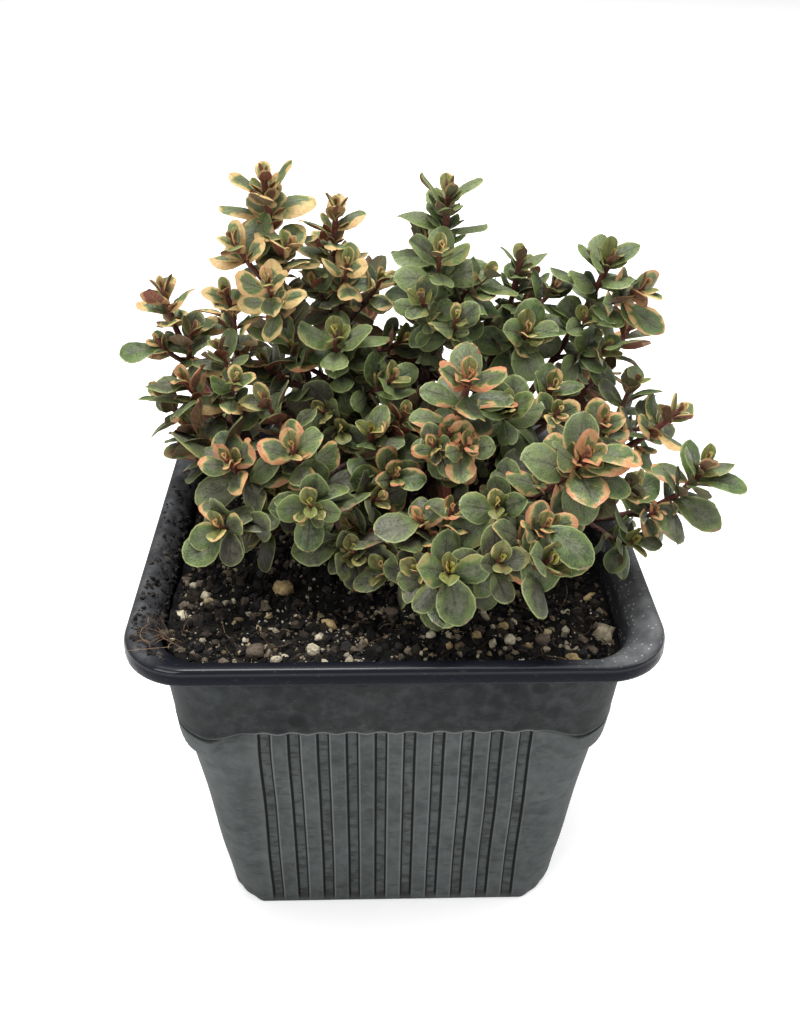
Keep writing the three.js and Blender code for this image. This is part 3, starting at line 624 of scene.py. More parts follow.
# Copies of a ball, each turned, stretched and dented by its own draws, at given places.
def lumps(places, radii, stretch, draws, split=False, dented=0.4, turned=True):
    ball, faces = roughBall(split)
    count = len(places)
    w, x, y, z = unit(draws.normal(size=(count, 4)) * [1, turned, turned, 1]).T
    spin = np.stack([
        np.stack([1 - 2 * (y * y + z * z), 2 * (x * y - w * z), 2 * (x * z + w * y)], axis=1),
        np.stack([2 * (x * y + w * z), 1 - 2 * (x * x + z * z), 2 * (y * z - w * x)], axis=1),
        np.stack([2 * (x * z - w * y), 2 * (y * z + w * x), 1 - 2 * (x * x + y * y)], axis=1),
    ], axis=1)
    dents = 1 + dented * (draws.random((count, len(ball))) - 0.5) * 2
    shaped = ball[None] * dents[:, :, None] * stretch[:, None, :] * radii[:, None, None]
    points = np.einsum("nij,nkj->nki", spin, shaped) + places[:, None, :]
    triangles = faces[None] + (np.arange(count) * len(ball))[:, None, None]
    return points.reshape(-1, 3), triangles.reshape(-1, 3), len(ball)


# Loose bits in the order they are strewn: how many, radii, darkest and lightest colour, flatness, how far
# each stands out by its radius, and the shares moved to the front or kept to the left.
looseBits = {
    "crumbs": {
        "count": 4300, "radius": (0.22, 1.1), "flat": 0.6,
        "low": (0.002, 0.002, 0.002), "high": (0.028, 0.026, 0.025),
    },
    "chips": {
        "count": 420, "radius": (0.7, 1.7), "flat": 0.3, "sunk": 0.2,
        "low": (0.004, 0.004, 0.003), "high": (0.04, 0.03, 0.022),
    },
    "pale": {
        "count": 1150, "radius": (0.14, 0.8), "flat": 0.6, "sunk": 0.3, "forward": 0.4,
        "low": (0.14, 0.11, 0.07), "high": (0.7, 0.62, 0.45),
    },
    "grains": {
        "count": 130, "radius": (0.5, 1.0), "flat": 0.5, "sunk": 0.2, "forward": 0.3, "split": True,
        "low": (0.12, 0.09, 0.05), "high": (0.6, 0.48, 0.28),
    },
    "brown": {
        "count": 1500, "radius": (0.22, 1.1), "flat": 0.5, "sunk": 0.3, "leftward": 0.4,
        "low": (0.03, 0.024, 0.019), "high": (0.2, 0.155, 0.115),
    },
}
strewing = {"seed": 41, "edge": 0.8, "corner": 9, "front": -20, "leftFade": (-34, 0), "paleness": 1.6}
# Crumbs spilled on the left of the rim: its straight stretch, its corner's radius and middle, how far they
# go round the corner, how they crowd to the front, and how far out from the soil they lie.
spilled = {
    "count": 420, "low": (0.008, 0.008, 0.008), "high": (0.075, 0.066, 0.058), "straight": 54, "radius": 10.9,
    "middle": 32.2, "round": 1.15, "crowding": 0.6, "from": -3.3, "spread": 4.1, "thinning": 1.7,
}
fibreShape = {
    "count": 90, "roots": 22, "stations": 7, "length": (2, 8), "width": 0.07, "bend": 0.9,
    "lift": (0.25, 1.1),
    "sag": 0.5, "low": (0.06, 0.035, 0.02), "high": (0.3, 0.2, 0.12), "field": 38, "front": (-40, -22),
    "frontShare": 0.5,
    "rootX": (-42, -36), "rootY": (-40, -30), "reach": 38.9, "rootReach": 45, "rootTop": 70.4,
    "rootRise": (36, 41), "rootSquare": 30,
}
# Larger bits of grit, half sunk: x, y, half width, half depth and kind.
gritBits = [
    (-19.8, -17.0, 1.4, 1.9, "tan"), (-37.1, -24.6, 1.2, 1.0, "pale"), (-33.5, -19.4, 0.9, 0.9, "pale"),
    (-36.2, -15.1, 0.8, 0.8, "pale"), (-11.4, -27.5, 0.8, 1.5, "tan"), (-12.9, -31.5, 0.7, 0.9, "pale"),
    (-13.7, -35.4, 1.1, 1.2, "pale"), (-23.4, -35.0, 1.5, 1.7, "brown"), (-19.9, -37.1, 0.7, 1.0, "pale"),
    (-0.5, -21.3, 1.3, 1.2, "brown"), (6.0, -30.0, 0.9, 0.8, "pale"), (9.0, -33.0, 0.6, 0.8, "tan"),
    (13.9, -30.4, 0.8, 0.8, "tan"), (18.9, -27.0, 0.9, 1.0, "tan"), (19.7, -31.0, 1.0, 1.0, "pale"),
    (16.6, -31.4, 0.6, 1.0, "pale"), (36.0, -17.0, 1.5, 0.8, "tan"), (36.6, -27.6, 1.8, 1.9, "stone"),
    (30.3, -33.6, 1.9, 1.1, "tan"), (33.7, -32.0, 1.0, 1.1, "brown"), (30.0, -26.6, 0.7, 0.8, "pale"),
    (25.7, -29.9, 1.3, 1.4, "brown"), (22.7, -31.3, 0.7, 0.8, "tan"), (-39.0, -31.1, 0.9, 1.0, "brown"),
    (-35, 32, 2, 1.8, "brown"), (20, 36, 1.8, 1.5, "stone"), (36, 18, 1.6, 1.3, "brown"),
]
gritColours = {
    "tan": (0.46, 0.34, 0.16), "pale": (0.56, 0.5, 0.36), "brown": (0.13, 0.1, 0.075),
    "stone": (0.4, 0.345, 0.235),
}
# Height of the rim's upper surface by its half width.
rimTop = (
    (39.6, 65.3), (39.85, 66.4), (40.2, 67.2), (40.65, 67.85), (41.15, 68.4), (41.65, 68.9), (42.1, 69.35),
    (42.5, 69.7), (43.2, 70), (43.8, 69.97), (44.3, 69.9), (44.65, 69.75), (44.87, 69.45),
)


# Places on the left of the rim, closer together towards the front corner and a little way round it.
def onRim(draws, count):
    straight, radius, middle = spilled["straight"], spilled["radius"], spilled["middle"]
    way = (straight + radius * spilled["round"]) * draws.random(count) ** spilled["crowding"]
    off = radius + spilled["from"] + spilled["spread"] * draws.random(count) ** spilled["thinning"]
    angle = math.pi + np.maximum(way - straight, 0) / radius
    x, y = off * np.cos(angle) - middle, off * np.sin(angle) - middle + np.maximum(straight - way, 0)
    return x, y, np.interp(middle + off, *np.transpose(rimTop))


def crumbColours(draws, count, low, high):
    share = draws.random((count, 1)) ** strewing["paleness"]
    return np.array(low) + (np.array(high) - np.array(low)) * share


# One kind of loose bits at random on the surface inside the wall.
def strewn(draws, count, radius, low, high, flat, split=False, sunk=0.1, leftward=0.0, forward=0.0):
    limit, corner = soilShape["half"] - strewing["edge"], strewing["corner"]
    x, y = draws.uniform(-limit, limit, (2, count))
    y = np.where(draws.random(count) < forward, draws.uniform(-limit, strewing["front"], count), y)
    inside = np.hypot(*np.maximum(np.abs([x, y]) - limit + corner, 0)) < corner
    inside &= draws.random(count) > leftward * smoothStep(*strewing["leftFade"], x)
    x, y = x[inside], y[inside]
    size = radius[0] + (radius[1] - radius[0]) * draws.random(len(x)) ** 3
    places = np.stack([x, y, looseTop(x, y) + size * sunk], axis=1)
    stretch = draws.uniform([0.8, 0.7, flat], [1.3, 1.1, flat + 0.3], (len(x), 3))
    return lumps(places, size, stretch, draws, split), crumbColours(draws, len(x), low, high)


def spilledOnRim(draws):
    x, y, height = onRim(draws, spilled["count"])
    size = 0.18 + 0.5 * draws.random(len(x)) ** 2.5
    places = np.stack([x, y, height + size * 0.15], axis=1)
    stretch = draws.uniform([0.8, 0.7, 0.5], [1.4, 1.1, 0.8], (len(x), 3))
    return lumps(places, size, stretch, draws), crumbColours(draws, len(x), spilled["low"], spilled["high"])


def halfSunkGrit(draws):
    x, y, width, depth = np.array([bit[:4] for bit in gritBits]).T
    places = np.stack([x, y, looseTop(x, y) + depth * 0.4], axis=1)
    stretch = np.stack([width, depth, depth * 0.8], axis=1)
    made = lumps(places, np.ones(len(x)), stretch, draws, split=True, dented=0.24, turned=False)
    return made, np.array([gritColours[bit[4]] for bit in gritBits])


# All loose bits, grit and fibres as one piece. Split balls and fibres are shaded smooth.
def buildCrumbs():
    draws = np.random.default_rng(strewing["seed"])
    parts = [strewn(draws, **bits) for bits in looseBits.values()]
    parts += [spilledOnRim(draws), halfSunkGrit(draws)]
    points, faces, shades, rounded, start = [], [], [], [], 0
    for (partPoints, partFaces, perLump), colours in parts:
        points.append(partPoints)
        faces.append(partFaces + start)
        shades.append(np.repeat(colours, perLump, axis=0))
        rounded.append(np.full(len(partFaces), perLump > 12))
        start += len(partPoints)
    fibrePoints, fibreFaces, fibreShades = fibres(draws)
    points, shades = np.concatenate([*points, fibrePoints]), np.concatenate([*shades, fibreShades])
    smooth = np.concatenate([*rounded, np.full(len(fibreFaces), True)])
    faces = [np.concatenate(faces), fibreFaces + start]
    piece = newMesh("soilCrumbs", points, faces, [newMaterial("looseEarth", crumbEarth)], smooth=smooth)
    give(piece, "shade", np.column_stack([shades, np.ones(len(shades))]))
    return piece


# Thin tan fibres: a bent line over the soil with four sides, closed at both ends by its narrowing; roots
# over the left corner of the rim.
def fibres(draws):
    shape, stations = fibreShape, fibreShape["stations"]
    count, roots = shape["count"], shape["roots"]
    x, y = draws.uniform(-shape["field"], shape["field"], (2, count))
    y = np.where(draws.random(count) < shape["frontShare"], draws.uniform(*shape["front"], count), y)
    x = np.concatenate([x, draws.uniform(*shape["rootX"], roots)])
    y = np.concatenate([y, draws.uniform(*shape["rootY"], roots)])
    count += roots
    length, course = draws.uniform(*shape["length"], count), draws.uniform(0, fullTurn, count)
    bend = draws.normal(0, shape["bend"], count)
    along = np.linspace(-0.5, 0.5, stations)[None, :]
    heading = course[:, None] + bend[:, None] * along
    lineX = x[:, None] + length[:, None] * along * np.cos(heading)
    lineY = y[:, None] + length[:, None] * along * np.sin(heading)
    lineZ = looseTop(lineX.ravel(), lineY.ravel()).reshape(lineX.shape)
    lift, sag = draws.uniform(*shape["lift"], count)[:, None], draws.normal(0, shape["sag"], count)[:, None]
    lineZ += np.abs(lift + sag * along ** 2 * 4)
    isRoot = np.arange(count) >= count - roots
    square = shape["rootSquare"]
    out = square + np.hypot(*np.maximum(np.abs([lineX, lineY]) - square, 0))
    over = smoothStep(*shape["rootRise"], out)
    lineZ = np.where(isRoot[:, None], lineZ + np.maximum(shape["rootTop"] - lineZ, 0) * over, lineZ)
    beyond = np.maximum(np.abs(lineX), np.abs(lineY)).max(axis=1)
    keep = beyond < np.where(isRoot, shape["rootReach"], shape["reach"])
    line, heading = np.stack([lineX, lineY, lineZ], axis=-1)[keep], heading[keep]
    side = np.stack([-np.sin(heading), np.cos(heading), heading * 0], axis=-1)
    up = np.array([0, 0, 1.0])
    taper = np.array([0.1, 0.9, 1, 1, 1, 0.8, 0.1])[None, :, None] * shape["width"]
    section = ((1, 0), (0, 1), (-1, 0), (0, -1))
    points = np.stack([line + taper * (side * a + up * b) for a, b in section], axis=2)
    ends = np.array([[3, 2, 1, 0], np.arange(4) + 4 * (stations - 1)])
    quads = np.concatenate([gridQuads(stations, 4, closed=True), ends])
    faces = (quads[None] + (np.arange(len(line)) * stations * 4)[:, None, None]).reshape(-1, 4)
    shade = crumbColours(draws, len(line), shape["low"], shape["high"])
    return points.reshape(-1, 3), faces, np.repeat(shade, stations * 4, axis=0)


# Each crumb has its own colour, lightly mottled.
def crumbEarth(tree):
    patch = mottleOf(objectPlace(tree), 900, 0.3, 0.7, 4.0)
    colour = blend(patch * 0.5, attributeOf(tree, "shade", "Color"), soilLook["crumbPatch"])
    bump = bumpOf(patch, 0.0003)
    return {"Base Color": colour, "Roughness": 0.9, "Specular IOR Level": 0.2, "Normal": bump}


settle(buildSoil(), "soil", "soil")
settle(buildCrumbs(), "soil", "soil")
print("soil: bed, crumbs, grit and fibres")


# Every shoot: how far up the main stem it leaves, the tip's place, heading and tilt of the tip, leaf pairs,
# leaf length, heading of the topmost pair, longest stretch between pairs, and its colouring.
sprays = {
    "spireLeft": {"hole": (-8, 6), "shoots": [
        (0, -22, 10, 132.4, 200, 4, 12, 8.6, 0, 2.2, "gold"),
        (0.64, -27, 2, 124, 200, 28, 4, 6.5, 80, 2.2, "gold"),
        (0.5, -21, -4, 119, 268, 38, 6, 7.4, 0, 2.5, "gold"),
        (0.66, -18, 6, 122, 350, 35, 4, 7.5, 60, 2.5, "gold"),
    ]},
    "spireMid": {"hole": (-4, 11), "shoots": [
        (0, -10, 16, 126, 0, 4, 10, 6.6, 90, 2.1, "gold"),
        (0.7, -8, 8, 118, 280, 31, 5, 7, 0, 2.5, "gold"),
        (0.62, -2, 12, 114, 300, 28, 5, 6.6, 30, 3, "gold"),
        (0.6, -14, 10, 114, 230, 30, 5, 7.5, 30, 3.5, "grey"),
    ]},
    "leftTall": {"hole": (-12, 3), "shoots": [
        (0, -40, 4, 115, 180, 8, 8, 7.4, 90, 3.6, "gold"),
        (0.72, -41, 0, 107, 200, 25, 3, 5, 90, 2, "gold"),
        (0.66, -35, 2, 108, 20, 35, 4, 7, 60, 3, "grey"),
    ]},
    "leftMid": {"hole": (-10, -2), "shoots": [
        (0, -36, -6, 102, 225, 32, 9, 8.2, 0, 4, "pink"),
        (0.66, -27, -8, 103, 300, 32, 5, 7, 0, 3, "gold"),
        (0.6, -29, 4, 114, 240, 25, 7, 7.2, 0, 3, "gold"),
        (0.62, -30, -3, 107, 200, 20, 5, 6.6, 70, 3, "grey"),
    ]},
    "leftLow": {"hole": (-11, -6), "shoots": [
        (0, -28, -18, 93, 245, 34, 7, 8, 20, 4, "pink"),
        (0.62, -29, -26, 85, 235, 36, 5, 7.6, 0, 3, "green"),
        (0.66, -35, -10, 95, 195, 45, 5, 8.6, 0, 3.5, "grey"),
    ]},
    "midGreen": {"hole": (-6, -1), "shoots": [
        (0, -10, 0, 108, 272, 33, 11, 8.6, 0, 4, "green"),
        (0.7, -18, 3, 104, 250, 20, 6, 7.6, 50, 3.5, "grey"),
        (0.6, -23, 2, 102, 220, 30, 5, 7.5, 10, 3.5, "grey"),
        (0.6, 0, -2, 101, 320, 30, 6, 8, 60, 3.5, "green"),
    ]},
    "orange": {"hole": (-7, -8), "shoots": [
        (0, -17, -18, 95, 262, 36, 8, 8.2, 10, 4, "pink"),
        (0.6, -14, -26, 89, 262, 37, 6, 8, 0, 3.5, "green"),
        (0.62, -22, -10, 100, 220, 30, 6, 7.6, 10, 4, "grey"),
        (0.45, -7, -26, 80, 262, 34, 5, 8, 30, 3.5, "grey"),
    ]},
    "midLeft": {"hole": (-2, -6), "shoots": [
        (0, -4, -10, 94, 270, 33, 8, 7.6, 70, 4, "green"),
        (0.66, 0, -18, 90, 280, 30, 6, 7, 10, 3.5, "pink"),
        (0.72, 2, -6, 96, 280, 25, 4, 5.6, 0, 2.5, "pink"),
    ]},
    "spireCentre": {"hole": (3, 11), "shoots": [
        (0, 10, 15, 129.2, 0, 2, 12, 8.7, 0, 3.2, "green"),
        (0.62, 8, 5, 121, 270, 31, 8, 9, 0, 3.5, "green"),
        (0.56, 5, 2, 114, 240, 30, 5, 7.2, 70, 3, "green"),
        (0.5, 11, 0, 111, 280, 30, 5, 7.2, 30, 3, "green"),
        (0.6, 17, 8, 116, 350, 45, 5, 8, 0, 3.5, "green"),
    ]},
    "bigPink": {"hole": (3, -3), "shoots": [
        (0, 12, -16, 107, 272, 34, 9, 8.8, 0, 4, "pink"),
        (0.6, 6, -20, 97, 250, 30, 5, 6, 20, 2.5, "pink"),
        (0.66, 9, -18, 98, 270, 30, 4, 5.5, 70, 2.5, "pink"),
        (0.6, 12, -20, 97, 300, 30, 5, 6.2, 20, 2.5, "pink"),
    ]},
    "spireRight": {"hole": (7, 9), "shoots": [
        (0, 24, 18, 116, 20, 6, 10, 7.2, 0, 3, "green"),
        (0.66, 24, 4, 107, 276, 30, 8, 8.4, 0, 3.5, "green"),
        (0.72, 30, 13, 112, 330, 30, 4, 7, 40, 3, "green"),
    ]},
    "rightTall": {"hole": (12, 5), "shoots": [
        (0, 39, 10, 118.5, 285, 28, 9, 8.4, 15, 3.5, "green"),
        (0.8, 45, 8, 114, 350, 35, 6, 7.4, 70, 3, "pink"),
        (0.72, 35, 8, 108, 230, 20, 5, 7, 30, 3, "green"),
        (0.62, 39, 6, 103, 330, 30, 5, 7.5, 70, 3.5, "green"),
    ]},
    "rightMid": {"hole": (14, 0), "shoots": [
        (0, 51, -4, 95, 340, 35, 7, 7.4, 30, 3.5, "gold"),
        (0.7, 44, 2, 98, 330, 30, 6, 7.6, 60, 3, "green"),
        (0.6, 37, -8, 95, 290, 30, 6, 7.2, 10, 3, "pink"),
    ]},
    "midRight": {"hole": (9, -3), "shoots": [
        (0, 28, -4, 100, 290, 31, 9, 8, 0, 4, "green"),
        (0.7, 28, -12, 99, 295, 37, 4, 5.5, 45, 2, "gold"),
        (0.66, 19, -12, 100, 300, 32, 6, 8, 10, 3.5, "green"),
    ]},
    "frontRight": {"hole": (9, -8), "shoots": [
        (0, 30, -28, 99, 290, 34, 9, 9.2, 0, 4, "pink"),
        (0.55, 16, -30, 91, 262, 34, 6, 7.8, 0, 3, "green"),
        (0.7, 39, -24, 91, 320, 34, 5, 8.4, 20, 3, "green"),
    ]},
    "rightArch": {"hole": (14, -5), "shoots": [
        (0, 52, -20, 93, 340, 18, 8, 8.4, 0, 3.6, "green"),
        (0.66, 44, -22, 85, 290, 30, 4, 6, 20, 2.5, "pink"),
        (0.5, 41, -22, 79, 300, 37, 5, 7.6, 20, 3.5, "green"),
    ]},
    "front": {"hole": (4, -10), "shoots": [
        (0, 16, -38, 86, 275, 36, 6, 7.8, 0, 3.5, "grey"),
        (0.6, 23, -36, 91, 290, 33, 6, 7.4, 10, 3.5, "pink"),
        (0.6, 23, -40, 87, 300, 40, 4, 9, 0, 3, "green"),
    ]},
    "frontLow": {"hole": (-1, -11), "shoots": [
        (0, 8, -38, 84, 268, 34, 6, 9, 0, 3.5, "green"),
        (0.6, 9, -28, 89, 275, 30, 6, 7, 20, 3, "pink"),
        (0.56, 4, -28, 87, 250, 30, 6, 7, 40, 3, "pink"),
        (0.5, -2, -28, 78, 250, 34, 5, 7.6, 20, 3, "grey"),
        (0.62, 3, -34, 81, 255, 34, 4, 7.6, 60, 3, "grey"),
    ]},
    "backLeft": {"hole": (-8, 13), "shoots": [
        (0, -33, 27, 103, 140, 25, 9, 8, 20, 4, "gold"),
        (0.6, -22, 41, 97, 110, 40, 7, 7.8, 50, 3.5, "green"),
        (0.5, -40, 38, 84, 140, 50, 6, 7.6, 10, 3.5, "grey"),
        (0.4, -24, 22, 84, 170, 35, 6, 7.6, 30, 3.5, "grey"),
    ]},
    "backMidLeft": {"hole": (-3, 15), "shoots": [
        (0, -13, 31, 115, 110, 15, 11, 7.6, 45, 3.5, "gold"),
        (0.6, -6, 49, 94, 90, 45, 7, 8, 20, 3.5, "pink"),
        (0.75, -2, 38, 106, 80, 30, 7, 7.6, 0, 3.5, "green"),
        (0.4, -10, 34, 82, 110, 45, 6, 7.6, 30, 3.5, "grey"),
    ]},
    "backMid": {"hole": (3, 16), "shoots": [
        (0, 7, 30, 118, 80, 10, 11, 8, 10, 3.5, "green"),
        (0.6, 13, 47, 98, 75, 42, 7, 8.2, 40, 3.5, "green"),
        (0.5, 8, 54, 82, 90, 55, 6, 7.6, 20, 3.5, "grey"),
    ]},
    "backRight": {"hole": (9, 13), "shoots": [
        (0, 28, 30, 108, 60, 18, 9, 8, 30, 4, "green"),
        (0.6, 27, 44, 93, 60, 42, 7, 7.8, 70, 3.5, "pink"),
        (0.7, 18, 36, 104, 80, 25, 6, 7.2, 0, 3, "green"),
    ]},
    "farRight": {"hole": (14, 9), "shoots": [
        (0, 47, 22, 101, 30, 28, 9, 7.8, 20, 4, "pink"),
        (0.6, 42, 35, 86, 45, 50, 7, 7.6, 60, 3.5, "green"),
        (0.6, 52, 10, 86, 5, 45, 6, 7.6, 30, 3.5, "green"),
    ]},
    "farLeft": {"hole": (-13, 9), "shoots": [
        (0, -45, 16, 90, 160, 35, 8, 7.6, 10, 4, "green"),
        (0.6, -36, 28, 78, 150, 50, 6, 7.6, 40, 3.5, "grey"),
        (0.6, -38, 13, 82, 185, 45, 6, 7.2, 20, 3, "grey"),
    ]},
}
# Colouring: how orange the margin is, how wide it is on the youngest leaves, the share of that which grown
# leaves keep, how soon it narrows with age, how grey the green is, and how red the underside is.
colourings = {
    "gold": (0.3, 0.38, 0.62, 0.6, 0.2, 0.75), "grey": (0.35, 0.16, 0.05, 1.0, 0.85, 0.4),
    "pink": (0.9, 0.5, 0.06, 0.6, 0.4, 0.75), "green": (0.5, 0.24, 0.0, 1.2, 0.15, 0.15),
}
# Leaf tones: spreads drawn at random, and painted shade and light by height: lower leaves greyer and less pale,
# higher ones paler.
tones = {
    "low": (96, 78), "high": (108, 124), "greyInLowShade": 0.4, "paleLostInLowShade": 0.6, "paleAddedInHighLight": 0.5, "blushYoung": 0.4,
    "warmSpread": 0.16, "widthSpread": 0.3, "greySpread": 0.22, "blushSpread": 0.25, "widestMargin": 0.6,
}
habit = {"first": 0.35, "last": 0.4, "lean": 0.5, "climb": 60, "rise": 0.8, "divisions": 200}
growth = {
    "start": 0.2, "stretch": 0.7, "growth": 0.45, "lack": 0.72, "fade": 1.2, "ageing": 0.04, "agedFrom": 6,
    "widest": 97, "opening": 3.5, "ahead": 0.25, "curl": 0.16, "curlUp": 2, "curlDown": 3, "youth": 1.7,
    "jitterTurn": 26, "jitterOpen": 14, "jitterLength": 0.24, "jitterRoll": 26,
    "lowestReach": 2, "lowestHeight": 66,
}
bladeShape = {
    "aspect": 0.65, "aspectSpread": 0.12, "thickness": 0.36, "thinnest": 0.02, "neck": 0.11,
    "fold": 0.3, "foldYoung": 2.2, "foldGrown": 0.6, "foldSpread": 0.24, "puff": 0.3, "valley": 0.3,
    "wave": 0.1, "waviness": 9, "twist": 0.24, "bow": 0.3,
    "stations": (0.12, 0.26, 0.4, 0.54, 0.67, 0.79, 0.89, 0.965),
    "tuftStations": (0.2, 0.42, 0.64, 0.82, 0.95),
}
tuftShape = {
    "fromPair": 2, "length": 0.5, "spread": 0.3, "open": 34, "opening": 5, "openSpread": 16, "splay": 42,
    "out": 0.55, "up": 0.3, "curl": 0.06, "youth": 3.5, "upright": 12, "share": 0.36,
}
# The two pairs above the grown ones form the heart of a rosette: share of the length, opening and curl of
# each.
heart = [(0.3, 20, 0.16), (0.55, 42, 0.12)]
stemShape = {
    "mainFoot": 0.75, "mainTip": 0.44, "sideFoot": 0.46, "sideTip": 0.34, "step": 1.6, "sunk": 5,
    "point": 0.6, "knot": 0.3, "knotLength": 0.5,
    "section": [(1, 0.5), (0.5, 1), (-0.5, 1), (-1, 0.5), (-1, -0.5), (-0.5, -1), (0.5, -1), (1, -0.5)],
}
shadeShoots = {
    "seed": 900, "perSpray": 3, "starts": (0.22, 0.62), "reach": (8, 17), "lift": (1, 9), "pairs": 4,
    "leaf": 7.6, "leafSpread": (0.85, 1.15), "gap": 3.4, "tilt": 45, "farthest": 40, "lowest": 72,
}
# Leaves set one by one, by spray: the shoot, how far along it the leaf starts, where its tip is, and its
# colouring.
placedLeaves = {
    "front": [
        (1, 0.89, 22.4, -40.1, 81.1, "green"), (1, 0.99, 29.8, -40.6, 86.5, "green"),
        (0, 0.89, 12.9, -37.5, 78.5, "green"), (0, 0.90, 10.7, -30.1, 83.7, "pink"),
    ],
    "frontLow": [
        (0, 0.94, 2.5, -40.7, 78.3, "green"), (0, 0.98, 9.8, -42.8, 76.8, "green"),
        (2, 0.99, -3.5, -32.1, 87.3, "grey"), (2, 0.75, 0.0, -32.6, 85.1, "grey"),
        (2, 0.99, 4.3, -22.1, 88.3, "grey"),
    ],
    "frontRight": [
        (0, 0.75, 15.8, -21.4, 92.0, "grey"), (0, 0.87, 31.1, -29.3, 86.9, "green"),
        (0, 0.96, 38.8, -29.0, 98.3, "pink"), (0, 0.94, 37.2, -30.2, 93.4, "green"),
        (1, 0.88, 8.3, -30.8, 84.6, "green"),
    ],
    "midGreen": [
        (2, 0.26, -18.5, -0.0, 95.5, "green"), (0, 0.72, -7.7, -2.5, 94.3, "green"),
        (3, 0.60, 4.0, -2.7, 98.5, "green"), (0, 0.89, -0.5, 3.7, 105.9, "green"),
        (0, 0.85, -19.6, 2.7, 101.9, "pink"), (0, 0.87, -9.9, -3.0, 101.3, "green"),
        (1, 0.99, -21.7, 5.3, 110.7, "gold"), (2, 0.70, -27.3, 1.5, 100.1, "green"),
        (1, 0.98, -25.2, 1.2, 108.4, "green"),
    ],
    "leftLow": [
        (2, 0.65, -37.3, -13.9, 96.6, "grey"), (0, 0.97, -32.9, -13.5, 92.7, "grey"),
        (0, 0.95, -25.8, -10.4, 91.8, "green"), (0, 0.85, -34.0, -18.3, 85.0, "grey"),
        (0, 0.81, -22.7, -18.4, 83.1, "grey"), (0, 0.63, -22.4, -17.8, 83.5, "green"),
        (1, 0.99, -31.7, -19.6, 86.3, "pink"), (1, 0.90, -25.0, -18.4, 84.5, "green"),
        (1, 0.93, -34.6, -29.1, 80.0, "green"), (1, 0.77, -27.7, -26.7, 77.4, "grey"),
        (1, 0.69, -19.5, -20.5, 83.6, "grey"),
    ],
    "leftMid": [
        (0, 0.91, -42.4, -5.6, 98.8, "grey"), (0, 0.99, -42.1, -9.0, 102.4, "grey"),
    ],
    "leftTall": [
        (1, 0.86, -47.6, -1.5, 105.0, "green"), (0, 0.83, -34.0, 10.6, 105.0, "gold"),
    ],
    "spireLeft": [
        (0, 0.93, -25.6, 3.5, 120.6, "gold"),
    ],
    "rightTall": [
        (0, 0.94, 33.6, 13.2, 120.2, "green"), (0, 0.89, 29.0, 13.6, 115.8, "green"),
        (0, 0.92, 44.4, 9.2, 114.7, "green"), (1, 0.47, 42.7, 5.7, 113.4, "pink"),
        (1, 0.88, 48.2, 5.8, 112.6, "gold"), (1, 0.67, 49.2, 4.9, 106.5, "pink"),
        (1, 0.26, 40.1, 3.9, 107.9, "green"), (3, 0.99, 41.0, 1.2, 105.9, "green"),
        (3, 0.48, 38.9, 4.6, 98.8, "green"),
    ],
    "spireRight": [
        (1, 0.91, 31.1, 4.2, 107.0, "green"),
    ],
    "midRight": [
        (0, 0.95, 33.3, -2.0, 99.5, "green"),
    ],
    "rightMid": [
        (1, 0.65, 38.7, 4.7, 97.4, "grey"), (0, 0.92, 45.6, 1.8, 94.7, "grey"),
    ],
    "rightArch": [
        (0, 0.93, 58.9, -22.7, 89.7, "green"), (0, 0.83, 55.5, -23.3, 82.3, "green"),
        (0, 0.91, 45.6, -12.6, 89.4, "pink"), (2, 0.84, 37.1, -23.6, 73.7, "green"),
        (2, 0.99, 45.9, -23.3, 79.3, "green"),
    ],
    "orange": [
        (1, 0.93, -19.8, -20.9, 87.5, "green"), (1, 0.88, -8.4, -18.9, 88.8, "green"),
        (1, 0.70, -4.2, -20.5, 88.6, "green"), (3, 0.37, -17.3, -18.3, 76.9, "green"),
        (3, 0.58, -17.9, -21.5, 76.9, "green"), (0, 0.34, -7.2, -14.4, 75.6, "green"),
        (3, 0.77, -1.7, -27.7, 83.0, "grey"),
    ],
    "bigPink": [
        (3, 0.70, 10.7, -23.4, 91.7, "pink"), (0, 0.70, 2.2, -10.2, 96.3, "pink"),
        (0, 0.74, 17.1, -10.9, 95.0, "pink"), (0, 0.82, 20.9, -12.0, 100.9, "pink"),
    ],
    "midLeft": [
        (0, 0.67, 5.0, -4.1, 89.9, "grey"), (1, 0.86, 5.0, -20.0, 90.0, "green"),
        (0, 0.64, -13.3, -5.9, 85.0, "grey"), (0, 0.93, -1.8, -1.9, 95.2, "grey"),
        (0, 0.83, -9.5, -3.4, 90.3, "pink"),
    ],
}
placedHabit = {"forward": 1.1, "up": 0.75, "broad": 0.04, "curl": -0.04, "roll": 24, "youth": 0.22}


# A repeatable draw between 0 and 1 for one leaf.
def draw(seed, pair, side):
    wave = math.sin(seed * 12.9898 + pair * 78.233 + side * 37.719) * 43758.5453
    return wave - math.floor(wave)


def placeSeed(tip):
    return tip[0] * 3 + tip[1] * 7 + tip[2]


def pointing(azimuth, tilt):
    a, t = math.radians(azimuth), math.radians(tilt)
    return np.array([math.sin(t) * math.cos(a), math.sin(t) * math.sin(a), math.cos(t)])


def squareTo(axis, direction):
    return unit(direction - np.sum(direction * axis, axis=-1, keepdims=True) * axis)


